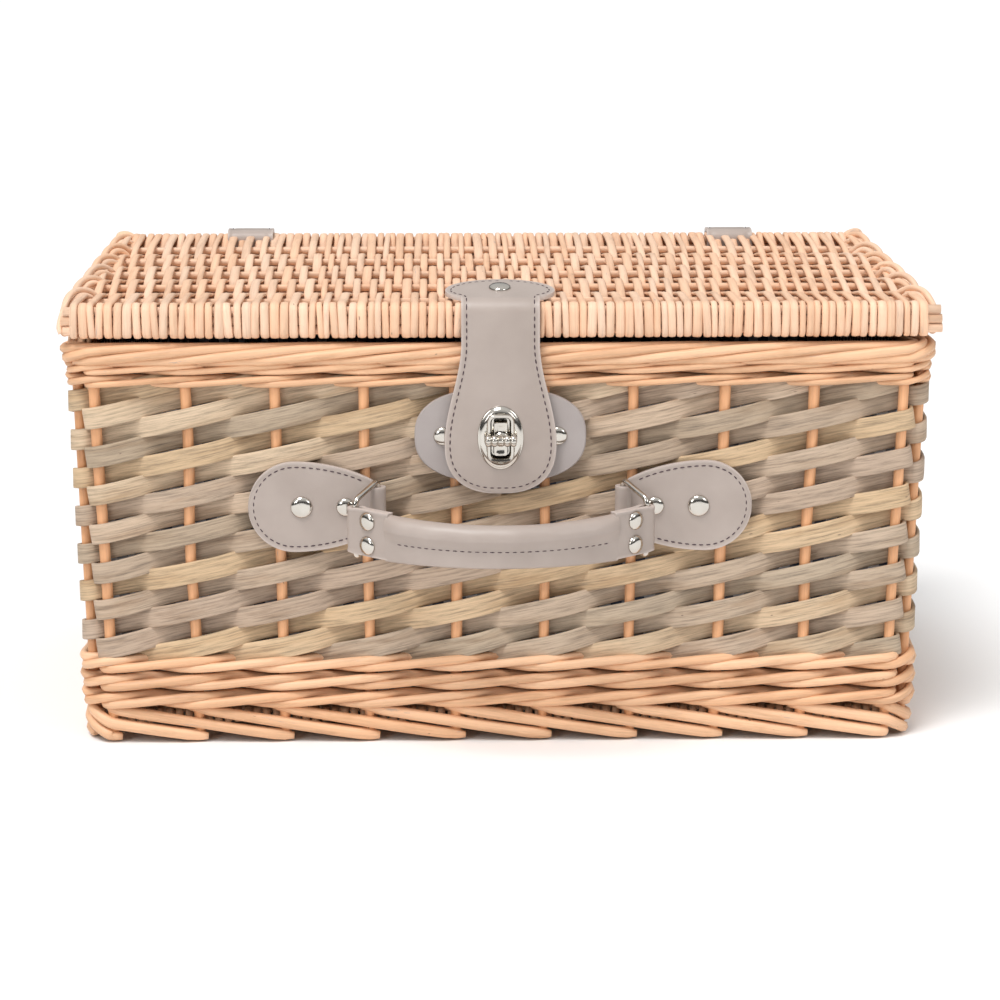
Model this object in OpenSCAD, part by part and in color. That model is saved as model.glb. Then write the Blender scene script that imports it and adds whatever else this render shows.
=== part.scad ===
// Closed willow picnic hamper. Origin at the middle of the foot, front towards -Y.

/* [Overall] */
// Width of the lid and the rim, side to side
lid_w = 420; // [320:1:520]
// Depth of the lid and the rim, front to back
lid_d = 280; // [220:1:360]
// Height of the basket, floor to the top of its rim
rim_top = 198; // [165:1:260]
// Lean of the walls, outwards towards the rim
flare = 1.6; // [0:0.1:4]
// Radius of the basket's corners, at the middle of the wall
corner_r = 12; // [9:0.5:24]

/* [Basket wall] */
// Thickness of the woven wall
wall_t = 9.5; // [8:0.1:12]
// How much thinner every other course of the weave is
course_step = 1.2; // [0:0.1:2]
// Thickness of the foot border
foot_t = 11; // [9:0.1:14]
// Height of the foot border
foot_h = 17; // [12:0.5:22]
// Height of one row of the lower waling
wale_h = 9; // [6:0.5:11]
// Rows in the lower waling
wale_rows = 3; // [2:1:4]
// Height of the upper waling
upper_wale_h = 12; // [8:0.5:16]
// Height of the rolled rim border
border_h = 10; // [8:0.5:14]
// Thickness of the rolled rim border
border_t = 14; // [11:0.1:18]
// Courses of split willow between the walings
splint_rows = 14; // [10:1:16]

/* [Stakes] */
// Diameter of a stake
stake_d = 5.3; // [3.5:0.1:6]
// Stakes along each long side
stakes_long = 10; // [8:1:12]
// Stakes along each short side
stakes_short = 7; // [5:1:9]
// Clearance round a stake in the weave
stake_clear = 0.3; // [0.2:0.05:0.5]

/* [Base] */
// Thickness of the woven base
base_t = 8.5; // [7:0.1:10]
// Height of the base above the floor
base_lift = 7; // [4:0.5:8]
// Diameter of a base stick
base_stick_d = 6; // [4:0.1:6.5]
// Number of base sticks
base_sticks_n = 6; // [4:1:8]
// Thickness of the cloth linings
lining_t = 1; // [0.8:0.1:1.5]

/* [Lid] */
// Thickness of the lid at its edges
lid_edge_t = 18.5; // [17.5:0.1:22]
// Thickness of the lid's woven panel
lid_panel_t = 11; // [9:0.1:12]
// Width of the thick band along the front and rear edges
lid_edge_w = 11; // [9:0.5:15]
// Width of the binding at each end of the lid
end_binding_w = 7; // [6:0.5:9]
// Gap between the closed lid and the rim
lid_gap = 0.5; // [0.3:0.1:1]
// Diameter of a stick in the lid's front and rear edges
edge_stick_d = 4.8; // [4:0.1:5]
// Diameter of a cross stick in the lid
cross_stick_d = 5; // [4:0.1:6]
// Diameter of the stick in each end binding
end_stick_d = 4; // [3:0.1:4.5]
// Cross sticks in the lid
cross_sticks_n = 5; // [3:1:7]

/* [Closure strap] */
// Thickness of the strap leather
strap_t = 2.2; // [1.6:0.1:2.4]
// Width of the strap at its neck
neck_w = 37; // [30:1:44]
// Width of the strap's tongue
tongue_w = 53; // [48:1:60]
// Width of the rounded head on the lid
head_w = 51; // [46:1:60]
// Length of the head on the lid, behind the lid's front edge
head_l = 28; // [24:1:40]
// Length of the strap's flap below the lid's top
flap_l = 91; // [84:1:100]
// Distance of the lock below the lid's top
lock_drop = 64; // [58:1:66]

/* [Lock] */
// Width of the eye plate
eye_w = 21.5; // [19:0.5:24]
// Height of the eye plate
eye_h = 31; // [28:0.5:34]
// Thickness of the eye plate
eye_t = 1.9; // [1.2:0.1:2.2]
// Width of the slot in the eye plate
slot_w = 8; // [7:0.1:9]
// Height of the slot in the eye plate
slot_h = 19; // [17:0.1:20]
// Clearance between the slot and the lock tower, each side
slot_clear = 0.5; // [0.4:0.1:0.8]
// Stake spaces from the middle to each rivet of the pad behind the lock
lock_rivet_at = 0.64; // [0.6:0.01:0.72]
// Height of the leather pad behind the lock
lock_pad_h = 46; // [42:1:50]
// Length of the turn key's bar
key_l = 15; // [13:0.5:17]
// Diameter of the turn key's beads
key_d = 6; // [5:0.1:6.5]
// Diameter of the pin that the key turns on
key_pin_d = 2.4; // [2:0.1:3]

/* [Handle] */
// Thickness of the pad leather
pad_t = 2.2; // [1.8:0.1:2.4]
// Height of a handle pad
pad_h = 44; // [38:1:50]
// Stake spaces from the middle to each ring loop
loop_at = 1.375; // [1.32:0.005:1.45]
// Length of a handle pad, from its loop outwards
pad_l = 62; // [56:1:66]
// Height of the handle's mounting line below the rim
handle_drop = 79.5; // [76:0.5:90]
// Diameter of the ring wire
wire_d = 2.8; // [2.2:0.1:3.2]
// Gap between the handle's tabs and the ring's bars above and below them
ring_gap = 1.2; // [1.1:0.1:2]
// Reach of a ring outwards from its loop
ring_out = 13.5; // [11:0.5:16]
// Reach of a ring sideways from its loop
ring_side = 10.5; // [8:0.5:14]
// Drop of the handle's end of a ring
ring_drop = 6.5; // [0:0.5:7]
// How far the handle bows out between its ends
bow = 31; // [24:1:40]
// Height of the handle's end tabs
tab_h = 22.5; // [20:0.5:25]
// Thickness of the padded roll of the grip
grip_t = 11.5; // [9:0.1:14]
// Height of the grip, roll and flange together
grip_h = 18.5; // [16:0.1:22]

/* [Rivets] */
// Diameter of a rivet cap on the handle pads and the head
cap_d = 10.5; // [9:0.1:11]
// Diameter of a small rivet cap
small_cap_d = 9; // [7.5:0.1:9.5]
// Height of a rivet cap
cap_h = 1.8; // [1.2:0.1:2.4]
// Diameter of a rivet shank
shank_d = 3; // [2:0.1:3.4]
// Clearance round a rivet shank
shank_clear = 0.1; // [0.05:0.05:0.2]

/* [Hinge straps] */
// Width of a hinge strap
hinge_strap_w = 25; // [20:1:30]
// Stake spaces from the middle of the lid to each hinge strap
hinge_strap_at = 3.11; // [2.7:0.01:3.3]
// Length of a hinge strap down the rear wall
hinge_tab_l = 48; // [40:1:60]
// Length of a hinge strap forward over the lid
hinge_top_l = 18; // [15:1:26]

/* [Hidden] */
$fn = 48;

willow = "burlywood";
splint = "tan";
leather = "dimgray";
nickel = "silver";
cloth = "slategray";

corner_steps = 5;
lean = tan(flare);
overlap = 0.5;
seam = 0.05;
seat = 0.2;
through = 40;

// Heights in the wall, from the floor up
lower_wale_z = foot_h;
weave_z = lower_wale_z + wale_rows * wale_h;
border_z = rim_top - border_h;
upper_wale_z = border_z - upper_wale_h;
splint_h = (upper_wale_z - weave_z) / splint_rows;
foot_sole_h = 3;
foot_sole_inset = 3;
border_crown_h = 4;
border_crown_inset = 3;
stake_bottom = foot_sole_h + seat;
stake_top = rim_top - border_crown_h - seat;
stake_hole = stake_d + 2 * stake_clear;
upper_wale_rows = 2;
upper_wale_step = 1;
// Leather on the wall stands this far off it, clear of the courses' lower edges
wall_gap = splint_h / 2 * lean + 0.1;

// Stakes stand this far in from the middle of the wall next round the corner
stake_inset_long = 9.5;
stake_inset_short = 7;
hug_long = corner_r - sqrt(pow(corner_r, 2) - pow(max(corner_r - stake_inset_long, 0), 2));
hug_short = corner_r - sqrt(pow(corner_r, 2) - pow(max(corner_r - stake_inset_short, 0), 2));

// Lid heights
lid_bottom = rim_top + lid_gap;
lid_top = lid_bottom + lid_edge_t;
panel_bottom = lid_top - lid_panel_t;
cross_stick_z = lid_top - lid_panel_t / 2;
lid_round = 5;
lid_wrap_t = (lid_edge_w - edge_stick_d) / 2;
edge_stick_y = lid_d / 2 - lid_wrap_t - edge_stick_d / 2;
edge_sticks_n = 3;
edge_wrap_h = 2;
edge_stick_pitch = (lid_edge_t - 2 * edge_wrap_h - edge_stick_d) / (edge_sticks_n - 1);
edge_stick_low = lid_bottom + edge_wrap_h + edge_stick_d / 2;
lid_weave_half = lid_w / 2 - end_binding_w;
stick_clear = 0.1;
end_wrap_h = 1;
end_stick_z = lid_bottom + end_wrap_h + end_stick_d / 2;
cross_stick_margin = 30;
binding_half = lid_d / 2 - lid_edge_w - seat;

// Strap: it lies on the lid's top and hangs in front of its front edge
strap_z = lid_top + seat;
strap_gap = 0.9;
eye_back_t = 0.8;
plate_gap = 0.3;
lock_base_t = 1;
lock_z = lid_top - lock_drop;
strap_y = max(lid_d / 2 + strap_gap,
    wall_out(lock_z + eye_h / 2) + wall_gap + pad_t + lock_base_t + eye_back_t + plate_gap);
bend_in = lid_round + 0.4;
bend_out = bend_in + strap_t;
bend_y = -(strap_y - bend_in);
bend_z = strap_z - bend_in;
flap_top = bend_z - 0.3;
flap_bottom = lid_top - flap_l;
tongue_round = 22;
tongue_z = flap_bottom + tongue_round;
neck_z = rim_top;
strap_steps = 10;
slot_r = slot_w / 2 - 0.5;
head_rivet_in = 17;
head_rivet_y = -(lid_d / 2 - head_rivet_in);

// Lock, measured outwards from the wall
tower_w = slot_w - 2 * slot_clear;
tower_h = slot_h - 2 * slot_clear - 1;
tower_proud = 0.9;
tower_out = strap_y + strap_t + eye_t + tower_proud - wall_out(lock_z) - wall_gap;
key_gap = 0.3;
hub_d = 7;
hub_h = 3;
bar_out = tower_out + key_gap + hub_h;
pin_clear = 0.15;
pin_in = 4;
pin_end = bar_out + 0.5;
bead_n = 5;
bead_depth = 0.6;
lock_rivet_in = 13.5;
lock_rivet_x = lock_rivet_at * stake_space(lock_z);
lock_pad_w = 2 * (lock_rivet_x + lock_rivet_in);

// Handle, measured outwards from the wall
handle_z = rim_top - handle_drop;
loop_bore = wire_d + 0.5;
loop_d = loop_bore + 2 * pad_t;
loop_out = pad_t + loop_d / 2 - overlap;
loop_x = loop_at * stake_space(handle_z);
tab_x = loop_x + ring_side;
tab_out = loop_out + ring_out;
arc_r = (pow(tab_x, 2) + pow(bow, 2)) / (2 * bow);
arc_y = arc_r - bow - tab_out;
arc_half = asin(tab_x / arc_r);
tab_turn = 13;
grip_half = arc_half - tab_turn;
rivet_half = arc_half - tab_turn / 2;
core_t = 2.4;
core_h = 12;
tab_t = 2 * core_t;
// A ring's upper and lower bars, and how much they climb across a leather loop
ring_bar_d = 0.93 * wire_d;
ring_slope = ring_drop / norm([ring_out, ring_side]);
ring_lift = ring_slope * loop_d / 2;
ring_h = tab_h + ring_bar_d * norm([1, ring_slope]) + 2 * ring_gap;
loop_h = ring_h - ring_bar_d * norm([1, ring_slope]) - 2 * (ring_lift + seat);
tab_rivet_up = 5.8;
grip_roll_up = (grip_h - grip_t) / 2;
flange_t = 5;
pad_rivet_out = 36.5;
pad_rivet_in = 15.5;
pad_round = pad_h / 2;

// Wall fastenings
inner_gap = upper_wale_step * upper_wale_rows / 2 + 0.3;
clamp_t = wall_gap + wall_t + inner_gap + lining_t + seat;
burr_d = 9;
burr_t = 1;
burr_seat = 0.1;
front_rivets = [
    [-lock_rivet_x, lock_z], [lock_rivet_x, lock_z],
    [-(loop_x + pad_rivet_out), handle_z], [-(loop_x + pad_rivet_in), handle_z],
    [loop_x + pad_rivet_in, handle_z], [loop_x + pad_rivet_out, handle_z]];
hinge_strap_t = 2.2;
hinge_y = lid_d / 2 + 0.3;
hinge_low = rim_top - hinge_tab_l;
hinge_rivet_up = 10;
hinge_rivet_z = hinge_low + hinge_rivet_up;
hinge_strap_x = hinge_strap_at * stake_space(hinge_rivet_z);
hinge_kink_z = upper_wale_z - 4;
// The strap cuts the lid's rounded edge at a slant that just touches it
lid_chamfer = lid_round * (2 - sqrt(2));
hinge_tail_y = lid_d / 2 - hinge_top_l;
hinge_tail_z = panel_bottom + 3;

// Half width and half depth at the middle of the wall, at height z
function wall_w(z) = lid_w / 2 - border_t / 2 - (rim_top - z) * lean;
function wall_d(z) = lid_d / 2 - border_t / 2 - (rim_top - z) * lean;
// Distance of the wall's outer face from the middle of the basket, at height z
function wall_out(z) = wall_d(z) + wall_t / 2;

function corner(x, y, r, start) =
    [for (i = [0:corner_steps]) [x + r * cos(start + 90 * i / corner_steps),
                                 y + r * sin(start + 90 * i / corner_steps)]];
function rounded_rectangle(hw, hd, r) = concat(
    corner(hw - r, hd - r, r, 0), corner(r - hw, hd - r, r, 90),
    corner(r - hw, r - hd, r, 180), corner(hw - r, r - hd, r, 270));
// Outline of the wall at height z, grown outwards from its middle
function wall_outline(z, grow) =
    rounded_rectangle(wall_w(z) + grow, wall_d(z) + grow, corner_r + grow);
function ellipse(w, h, n = 40) = [for (i = [0:n - 1]) [w / 2 * cos(360 * i / n), h / 2 * sin(360 * i / n)]];

// Where stake i of a side stands at height z; t runs from -1 to 1 along the side
function long_stake(t, side, z) = [t * (wall_w(z) - stake_inset_long), side * (wall_d(z) - hug_long)];
function short_stake(t, side, z) = [side * (wall_w(z) - hug_short), t * (wall_d(z) - stake_inset_short)];
// Distance between the stakes of a long side at height z
function stake_space(z) = 2 * (wall_w(z) - stake_inset_long) / (stakes_long - 1);
function stake_row(n) = [for (i = [0:n - 1]) 2 * i / (n - 1) - 1];
function stake_points(z) = concat(
    [for (side = [-1, 1], t = stake_row(stakes_long)) long_stake(t, side, z)],
    [for (side = [-1, 1], t = stake_row(stakes_short)) short_stake(t, side, z)]);

// Half width of the strap's flap, from its neck to its tongue and round its end
function ease(t) = t * t * (3 - 2 * t);
function flap_side() = concat(
    [[neck_w / 2, flap_top]],
    [for (i = [0:strap_steps]) [neck_w / 2 + (tongue_w - neck_w) / 2 * ease(i / strap_steps),
                                neck_z + (tongue_z - neck_z) * i / strap_steps]],
    [for (i = [1:strap_steps]) [tongue_w / 2 * cos(90 * i / strap_steps),
                                tongue_z - (tongue_z - flap_bottom) * sin(90 * i / strap_steps)]]);
function mirrored(side) = concat(side, [for (i = [len(side) - 1:-1:0]) [-side[i][0], side[i][1]]]);

// A round rod from p to q
module rod(p, q, d) {
    v = q - p;
    translate(p) rotate([0, acos(v[2] / norm(v)), atan2(v[1], v[0])]) cylinder(d = d, h = norm(v));
}

// A frame on the front wall's outer face, +Z up the wall and -Y outwards
module at_wall(x, z) {
    translate([x, -wall_out(z) - wall_gap, z]) rotate([flare, 0, 0]) children();
}

// The same place with +Y up the wall and +Z outwards
module on_wall(x, z) {
    at_wall(x, z) rotate([90, 0, 0]) children();
}

// The same on the rear wall
module on_rear_wall(x, z) {
    rotate([0, 0, 180]) on_wall(x, z) children();
}

// One course of the wall, from height z up
module course(z, h, t, holes = true) {
    middle = z + h / 2;
    translate([0, 0, z]) linear_extrude(h) difference() {
        polygon(wall_outline(middle, t / 2));
        polygon(wall_outline(middle, -t / 2));
        if (holes) for (p = stake_points(middle)) translate(p) circle(d = stake_hole, $fn = 24);
    }
}

// A domed rivet cap on a shank that reaches down by grip
module rivet(d, grip) {
    rotate_extrude() polygon([[0, -grip], [shank_d / 2, -grip], [shank_d / 2, 0], [d / 2, 0],
        [d / 2, cap_h * 0.3], [d * 0.4, cap_h * 0.7], [d * 0.2, cap_h * 0.95], [0, cap_h]]);
}

module shank_hole(depth) {
    translate([0, 0, -depth]) cylinder(d = shank_d + 2 * shank_clear, h = 2 * depth);
}

// Holes through the walls and the lining for every wall rivet
module wall_rivet_holes() {
    for (r = front_rivets) on_wall(r[0], r[1]) shank_hole(through);
    for (side = [-1, 1]) on_rear_wall(side * hinge_strap_x, hinge_rivet_z) shank_hole(through);
}

module base_sticks_at(d) {
    reach = wall_w(0) - wall_t;
    span = 2 * (wall_d(0) - wall_t - base_stick_d * 2);
    for (i = [0:base_sticks_n - 1]) translate([-reach, span * (i / (base_sticks_n - 1) - 0.5), base_lift + base_t / 2])
        rotate([0, 90, 0]) cylinder(d = d, h = 2 * reach);
}

module base_sticks() {
    color(willow) base_sticks_at(base_stick_d);
}

module base_weave() {
    grow = -foot_t / 2 - seat;
    color(splint) difference() {
        translate([0, 0, base_lift]) linear_extrude(base_t) polygon(wall_outline(0, grow));
        base_sticks_at(base_stick_d + 2 * stick_clear);
    }
}

module foot_border() {
    color(willow) {
        course(0, foot_sole_h, foot_t - foot_sole_inset, false);
        course(foot_sole_h, foot_h - foot_sole_h, foot_t);
    }
}

module lower_waling() {
    color(willow) for (i = [0:wale_rows - 1])
        course(lower_wale_z + i * wale_h, wale_h, wall_t - (i % 2) * course_step);
}

module stakes() {
    low = stake_points(stake_bottom);
    high = stake_points(stake_top);
    color("sandybrown") for (i = [0:len(low) - 1])
        rod([low[i][0], low[i][1], stake_bottom], [high[i][0], high[i][1], stake_top], stake_d);
}

module split_willow_weave() {
    color(splint) difference() {
        for (i = [0:splint_rows - 1])
            course(weave_z + i * splint_h, splint_h + (i < splint_rows - 1 ? seam : 0),
                wall_t - (i % 2) * course_step);
        wall_rivet_holes();
    }
}

module upper_waling() {
    row_h = upper_wale_h / upper_wale_rows;
    color(willow) for (i = [0:upper_wale_rows - 1])
        course(upper_wale_z + i * row_h, row_h, wall_t + (i + 1) * upper_wale_step);
}

module rim_border() {
    color(willow) {
        course(border_z, border_h - border_crown_h, border_t);
        course(rim_top - border_crown_h, border_crown_h, border_t - border_crown_inset, false);
    }
}

// A tapered block that fits inside the wall, shrunk by gap
module lining_block(gap, low, high) {
    hull() {
        translate([0, 0, low]) linear_extrude(0.01) polygon(wall_outline(low, -wall_t / 2 - gap));
        translate([0, 0, high]) linear_extrude(0.01) polygon(wall_outline(high, -wall_t / 2 - gap));
    }
}

module body_lining() {
    floor_z = foot_h;
    color(cloth) difference() {
        lining_block(inner_gap, floor_z, border_z - 2 * overlap);
        lining_block(inner_gap + lining_t, floor_z + lining_t, rim_top);
        wall_rivet_holes();
    }
}

module edge_sticks(side, d) {
    for (i = [0:edge_sticks_n - 1])
        translate([-lid_w / 2, side * edge_stick_y, edge_stick_low + i * edge_stick_pitch])
            rotate([0, 90, 0]) cylinder(d = d, h = lid_w);
}

function cross_stick_y(i) = (binding_half - cross_stick_margin) * (2 * i / (cross_sticks_n - 1) - 1);

module cross_sticks(d) {
    half = lid_w / 2 - end_binding_w / 2;
    for (i = [0:cross_sticks_n - 1]) translate([-half, cross_stick_y(i), cross_stick_z])
        rotate([0, 90, 0]) cylinder(d = d, h = 2 * half);
}

module end_sticks(d) {
    for (side = [-1, 1])
        translate([side * (lid_w / 2 - end_binding_w / 2), -binding_half + 1, end_stick_z])
            rotate([-90, 0, 0]) cylinder(d = d, h = 2 * (binding_half - 1));
}

module lid_front_sticks() {
    color(willow) edge_sticks(-1, edge_stick_d);
}

module lid_rear_sticks() {
    color(willow) edge_sticks(1, edge_stick_d);
}

module lid_cross_sticks() {
    color(willow) cross_sticks(cross_stick_d);
}

module lid_end_sticks() {
    color(willow) end_sticks(end_stick_d);
}

// Section of the lid, front to back, with rounded outer corners
module lid_section() {
    half = lid_d / 2;
    inner = half - lid_edge_w;
    polygon(concat(
        corner(half - lid_round, lid_top - lid_round, lid_round, 0),
        corner(lid_round - half, lid_top - lid_round, lid_round, 90),
        corner(lid_round - half, lid_bottom + lid_round, lid_round, 180),
        [[-inner, lid_bottom], [-inner, panel_bottom], [inner, panel_bottom], [inner, lid_bottom]],
        corner(half - lid_round, lid_bottom + lid_round, lid_round, 270)));
}

module lid_weave() {
    color("wheat") difference() {
        translate([-lid_weave_half, 0, 0]) rotate([90, 0, 90]) linear_extrude(2 * lid_weave_half) lid_section();
        for (side = [-1, 1]) edge_sticks(side, edge_stick_d + 2 * stick_clear);
        cross_sticks(cross_stick_d + 2 * stick_clear);
        for (side = [-1, 1]) translate([side * hinge_strap_x, hinge_tail_y + hinge_strap_t / 2, lid_top])
            cube([hinge_strap_w + 1, hinge_strap_t + 2 * seat, 2 * lid_panel_t + 1], center = true);
        translate([0, head_rivet_y, lid_top]) shank_hole(through);
    }
}

module lid_end_bindings() {
    color("wheat") difference() {
        for (side = [-1, 1])
            translate([side * (lid_w / 2 - end_binding_w / 2), 0, (lid_bottom + lid_top) / 2])
                cube([end_binding_w - seat, 2 * binding_half, lid_edge_t - 1], center = true);
        cross_sticks(cross_stick_d + 2 * stick_clear);
        end_sticks(end_stick_d + 2 * stick_clear);
    }
}

module lid_lining() {
    color(cloth) translate([0, 0, panel_bottom - lining_t - seat]) linear_extrude(lining_t) difference() {
        square([2 * lid_weave_half - 4, 2 * (lid_d / 2 - lid_edge_w) - 2], center = true);
        for (side = [-1, 1]) translate([side * hinge_strap_x, hinge_tail_y])
            square([hinge_strap_w + 2, 4 * hinge_strap_t], center = true);
        translate([0, head_rivet_y]) circle(d = shank_d + 2 * shank_clear);
    }
}

module closure_strap_head() {
    flat_y = -lid_d / 2 + lid_round;
    color(leather) difference() {
        union() {
            translate([0, 0, strap_z]) linear_extrude(strap_t) intersection() {
                translate([0, flat_y + head_l - lid_round - head_w / 2]) circle(d = head_w);
                translate([-head_w, bend_y]) square([2 * head_w, head_l]);
            }
            translate([0, bend_y, bend_z]) rotate([90, 0, 90]) linear_extrude(neck_w, center = true)
                polygon(concat(corner(0, 0, bend_out, 90), [for (i = [corner_steps:-1:0])
                    [bend_in * cos(90 + 90 * i / corner_steps), bend_in * sin(90 + 90 * i / corner_steps)]]));
        }
        translate([0, head_rivet_y, strap_z]) shank_hole(through);
    }
}

module strap_head_rivet() {
    grip = strap_t + lid_panel_t + lining_t + 3 * seat;
    color(nickel) translate([0, head_rivet_y, strap_z + strap_t]) {
        rivet(cap_d, grip);
        translate([0, 0, -grip - burr_t]) cylinder(d = burr_d, h = burr_t);
    }
}

module slot_outline(grow) {
    polygon([for (p = rounded_rectangle(slot_w / 2 + grow, slot_h / 2 + grow, slot_r + grow)) p]);
}

// Where the strap hangs: +Y up and +Z outwards, level with the lock
module on_flap(depth) {
    translate([0, -strap_y - depth, lock_z]) rotate([90, 0, 0]) children();
}

module closure_strap() {
    color(leather) on_flap(0) linear_extrude(strap_t) difference() {
        translate([0, -lock_z]) polygon(mirrored(flap_side()));
        slot_outline(0.5);
    }
}

module eye_plate() {
    frame = 2;
    color(nickel) on_flap(strap_t) difference() {
        union() {
            linear_extrude(eye_t * 0.5) polygon(ellipse(eye_w + 1, eye_h + 2));
            linear_extrude(eye_t) polygon(ellipse(eye_w - 2, eye_h - 2));
            linear_extrude(eye_t + 0.6) slot_outline(frame / 2);
        }
        translate([0, 0, -1]) linear_extrude(2 * eye_t + 2) slot_outline(0);
    }
}

module eye_back_plate() {
    color(nickel) on_flap(-eye_back_t) linear_extrude(eye_back_t) difference() {
        polygon(ellipse(eye_w, eye_h));
        slot_outline(0);
    }
}

module lock_pad() {
    color(leather) difference() {
        on_wall(0, lock_z) linear_extrude(pad_t) polygon(ellipse(lock_pad_w, lock_pad_h));
        for (side = [-1, 1]) on_wall(side * lock_rivet_x, lock_z) shank_hole(through);
    }
}

module lock_pad_rivets() {
    color(nickel) for (side = [-1, 1])
        on_wall(side * lock_rivet_x, lock_z) translate([0, 0, pad_t]) rivet(small_cap_d, pad_t + clamp_t + burr_t);
}

module lock_base() {
    color(nickel) on_wall(0, lock_z) difference() {
        union() {
            translate([0, 0, pad_t]) linear_extrude(lock_base_t) polygon(ellipse(eye_w, eye_h));
            translate([0, 0, pad_t]) linear_extrude(tower_out - pad_t)
                polygon(rounded_rectangle(tower_w / 2, tower_h / 2, slot_r - slot_clear));
        }
        translate([0, 0, tower_out - pin_in]) cylinder(d = key_pin_d, h = 2 * pin_in);
    }
}

module key_pin() {
    color(nickel) on_wall(0, lock_z) translate([0, 0, tower_out - pin_in])
        cylinder(d = key_pin_d, h = pin_end - tower_out + pin_in);
}

// Radius of the key's beaded bar at t, from -1 to 1 along it
function bead_r(t) = key_d / 2 - bead_depth * (1 - abs(cos(90 * bead_n * t)));

module turn_key() {
    steps = 4 * bead_n;
    outline = [for (i = [-steps:steps]) [bead_r(i / steps) - (abs(i) == steps ? 1 : 0), key_l / 2 * i / steps]];
    color(nickel) on_wall(0, lock_z) difference() {
        union() {
            translate([0, 0, bar_out]) rotate([0, 90, 0])
                rotate_extrude() polygon(concat([[0, -key_l / 2]], outline, [[0, key_l / 2]]));
            translate([0, 0, tower_out + key_gap]) cylinder(d = hub_d, h = hub_h);
        }
        translate([0, 0, tower_out]) cylinder(d = key_pin_d + 2 * pin_clear, h = pin_end - tower_out + 0.3);
    }
}

// Outline of a handle pad: round outer end, narrowing to its ring loop
function pad_outline() = concat(
    [[0, -loop_h / 2]],
    [for (i = [0:12]) [pad_l - pad_round + pad_round * cos(15 * i - 90), pad_round * sin(15 * i - 90)]],
    [[0, loop_h / 2]]);

module handle_pad(side) {
    color(leather) at_wall(0, handle_z) mirror([side < 0 ? 1 : 0, 0, 0]) difference() {
        union() {
            translate([loop_x, 0, 0]) rotate([90, 0, 0]) linear_extrude(pad_t) polygon(pad_outline());
            translate([loop_x, -loop_out, -loop_h / 2]) cylinder(d = loop_d, h = loop_h);
        }
        translate([loop_x, -loop_out, -loop_h]) cylinder(d = loop_bore, h = 2 * loop_h);
        for (x = [pad_rivet_in, pad_rivet_out])
            translate([loop_x + x, 0, 0]) rotate([90, 0, 0]) shank_hole(through);
    }
}

module left_handle_pad() {
    handle_pad(-1);
}

module right_handle_pad() {
    handle_pad(1);
}

module handle_pad_rivets() {
    color(nickel) for (side = [-1, 1], x = [pad_rivet_in, pad_rivet_out])
        on_wall(side * (loop_x + x), handle_z) translate([0, 0, pad_t])
            rivet(x == pad_rivet_in ? small_cap_d : cap_d, pad_t + clamp_t + burr_t);
}

// Washers inside the basket that every wall rivet is set against
module burr() {
    translate([0, 0, -clamp_t - burr_t]) linear_extrude(burr_t - burr_seat) difference() {
        circle(d = burr_d);
        circle(d = shank_d);
    }
}

module rivet_burrs() {
    color(nickel) {
        for (r = front_rivets) on_wall(r[0], r[1]) burr();
        for (side = [-1, 1]) on_rear_wall(side * hinge_strap_x, hinge_rivet_z) burr();
    }
}

module ring(side) {
    half = ring_h / 2;
    inner = [side * loop_x, -loop_out, 0];
    outer = [side * tab_x, -tab_out, -ring_drop];
    color(nickel) at_wall(0, handle_z) {
        for (p = [inner, outer]) translate([p[0], p[1], p[2] - half - wire_d / 2])
            cylinder(d = wire_d, h = ring_h + wire_d);
        for (up = [-half, half]) rod(inner + [0, 0, up], outer + [0, 0, up], ring_bar_d);
    }
}

module left_ring() {
    ring(-1);
}

module right_ring() {
    ring(1);
}

// A section swept along the handle's arc, from angle a to b, 0 at its middle
module handle_arc(a, b) {
    at_wall(0, handle_z) translate([0, arc_y, -ring_drop]) rotate([0, 0, a - 90])
        rotate_extrude(angle = b - a, $fn = 96) translate([arc_r, 0]) children();
}

module tab_rivet_places() {
    for (side = [-1, 1], up = [-1, 1])
        at_wall(0, handle_z) translate([0, arc_y, -ring_drop]) rotate([0, 0, side * rivet_half - 90])
            translate([arc_r, 0, up * tab_rivet_up]) rotate([0, 90, 0]) children();
}

module handle_strap() {
    color(leather) difference() {
        union() {
            handle_arc(-grip_half - 1, grip_half + 1) square([core_t, core_h], center = true);
            for (side = [-1, 1]) {
                handle_arc(side > 0 ? grip_half : -arc_half, side > 0 ? arc_half : -grip_half)
                    square([tab_t, tab_h], center = true);
                at_wall(0, handle_z) translate([side * tab_x, -tab_out, -ring_drop - loop_h / 2])
                    cylinder(d = loop_d, h = loop_h);
            }
        }
        for (side = [-1, 1]) at_wall(0, handle_z)
            translate([side * tab_x, -tab_out, -ring_drop - tab_h]) cylinder(d = loop_bore, h = 2 * tab_h);
        tab_rivet_places() shank_hole(tab_t);
    }
}

module handle_grip() {
    color(leather) handle_arc(-grip_half + 0.3, grip_half - 0.3) difference() {
        union() {
            translate([0, grip_roll_up]) circle(d = grip_t);
            translate([-flange_t / 2, -grip_h / 2]) square([flange_t, grip_h / 2]);
        }
        square([core_t + 0.1, core_h + 0.1], center = true);
    }
}

module handle_tab_rivets() {
    color(nickel) tab_rivet_places() translate([0, 0, tab_t / 2]) {
        rivet(small_cap_d, tab_t + seat);
        translate([0, 0, -tab_t - seat - burr_t]) cylinder(d = small_cap_d - 2, h = burr_t);
    }
}

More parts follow.
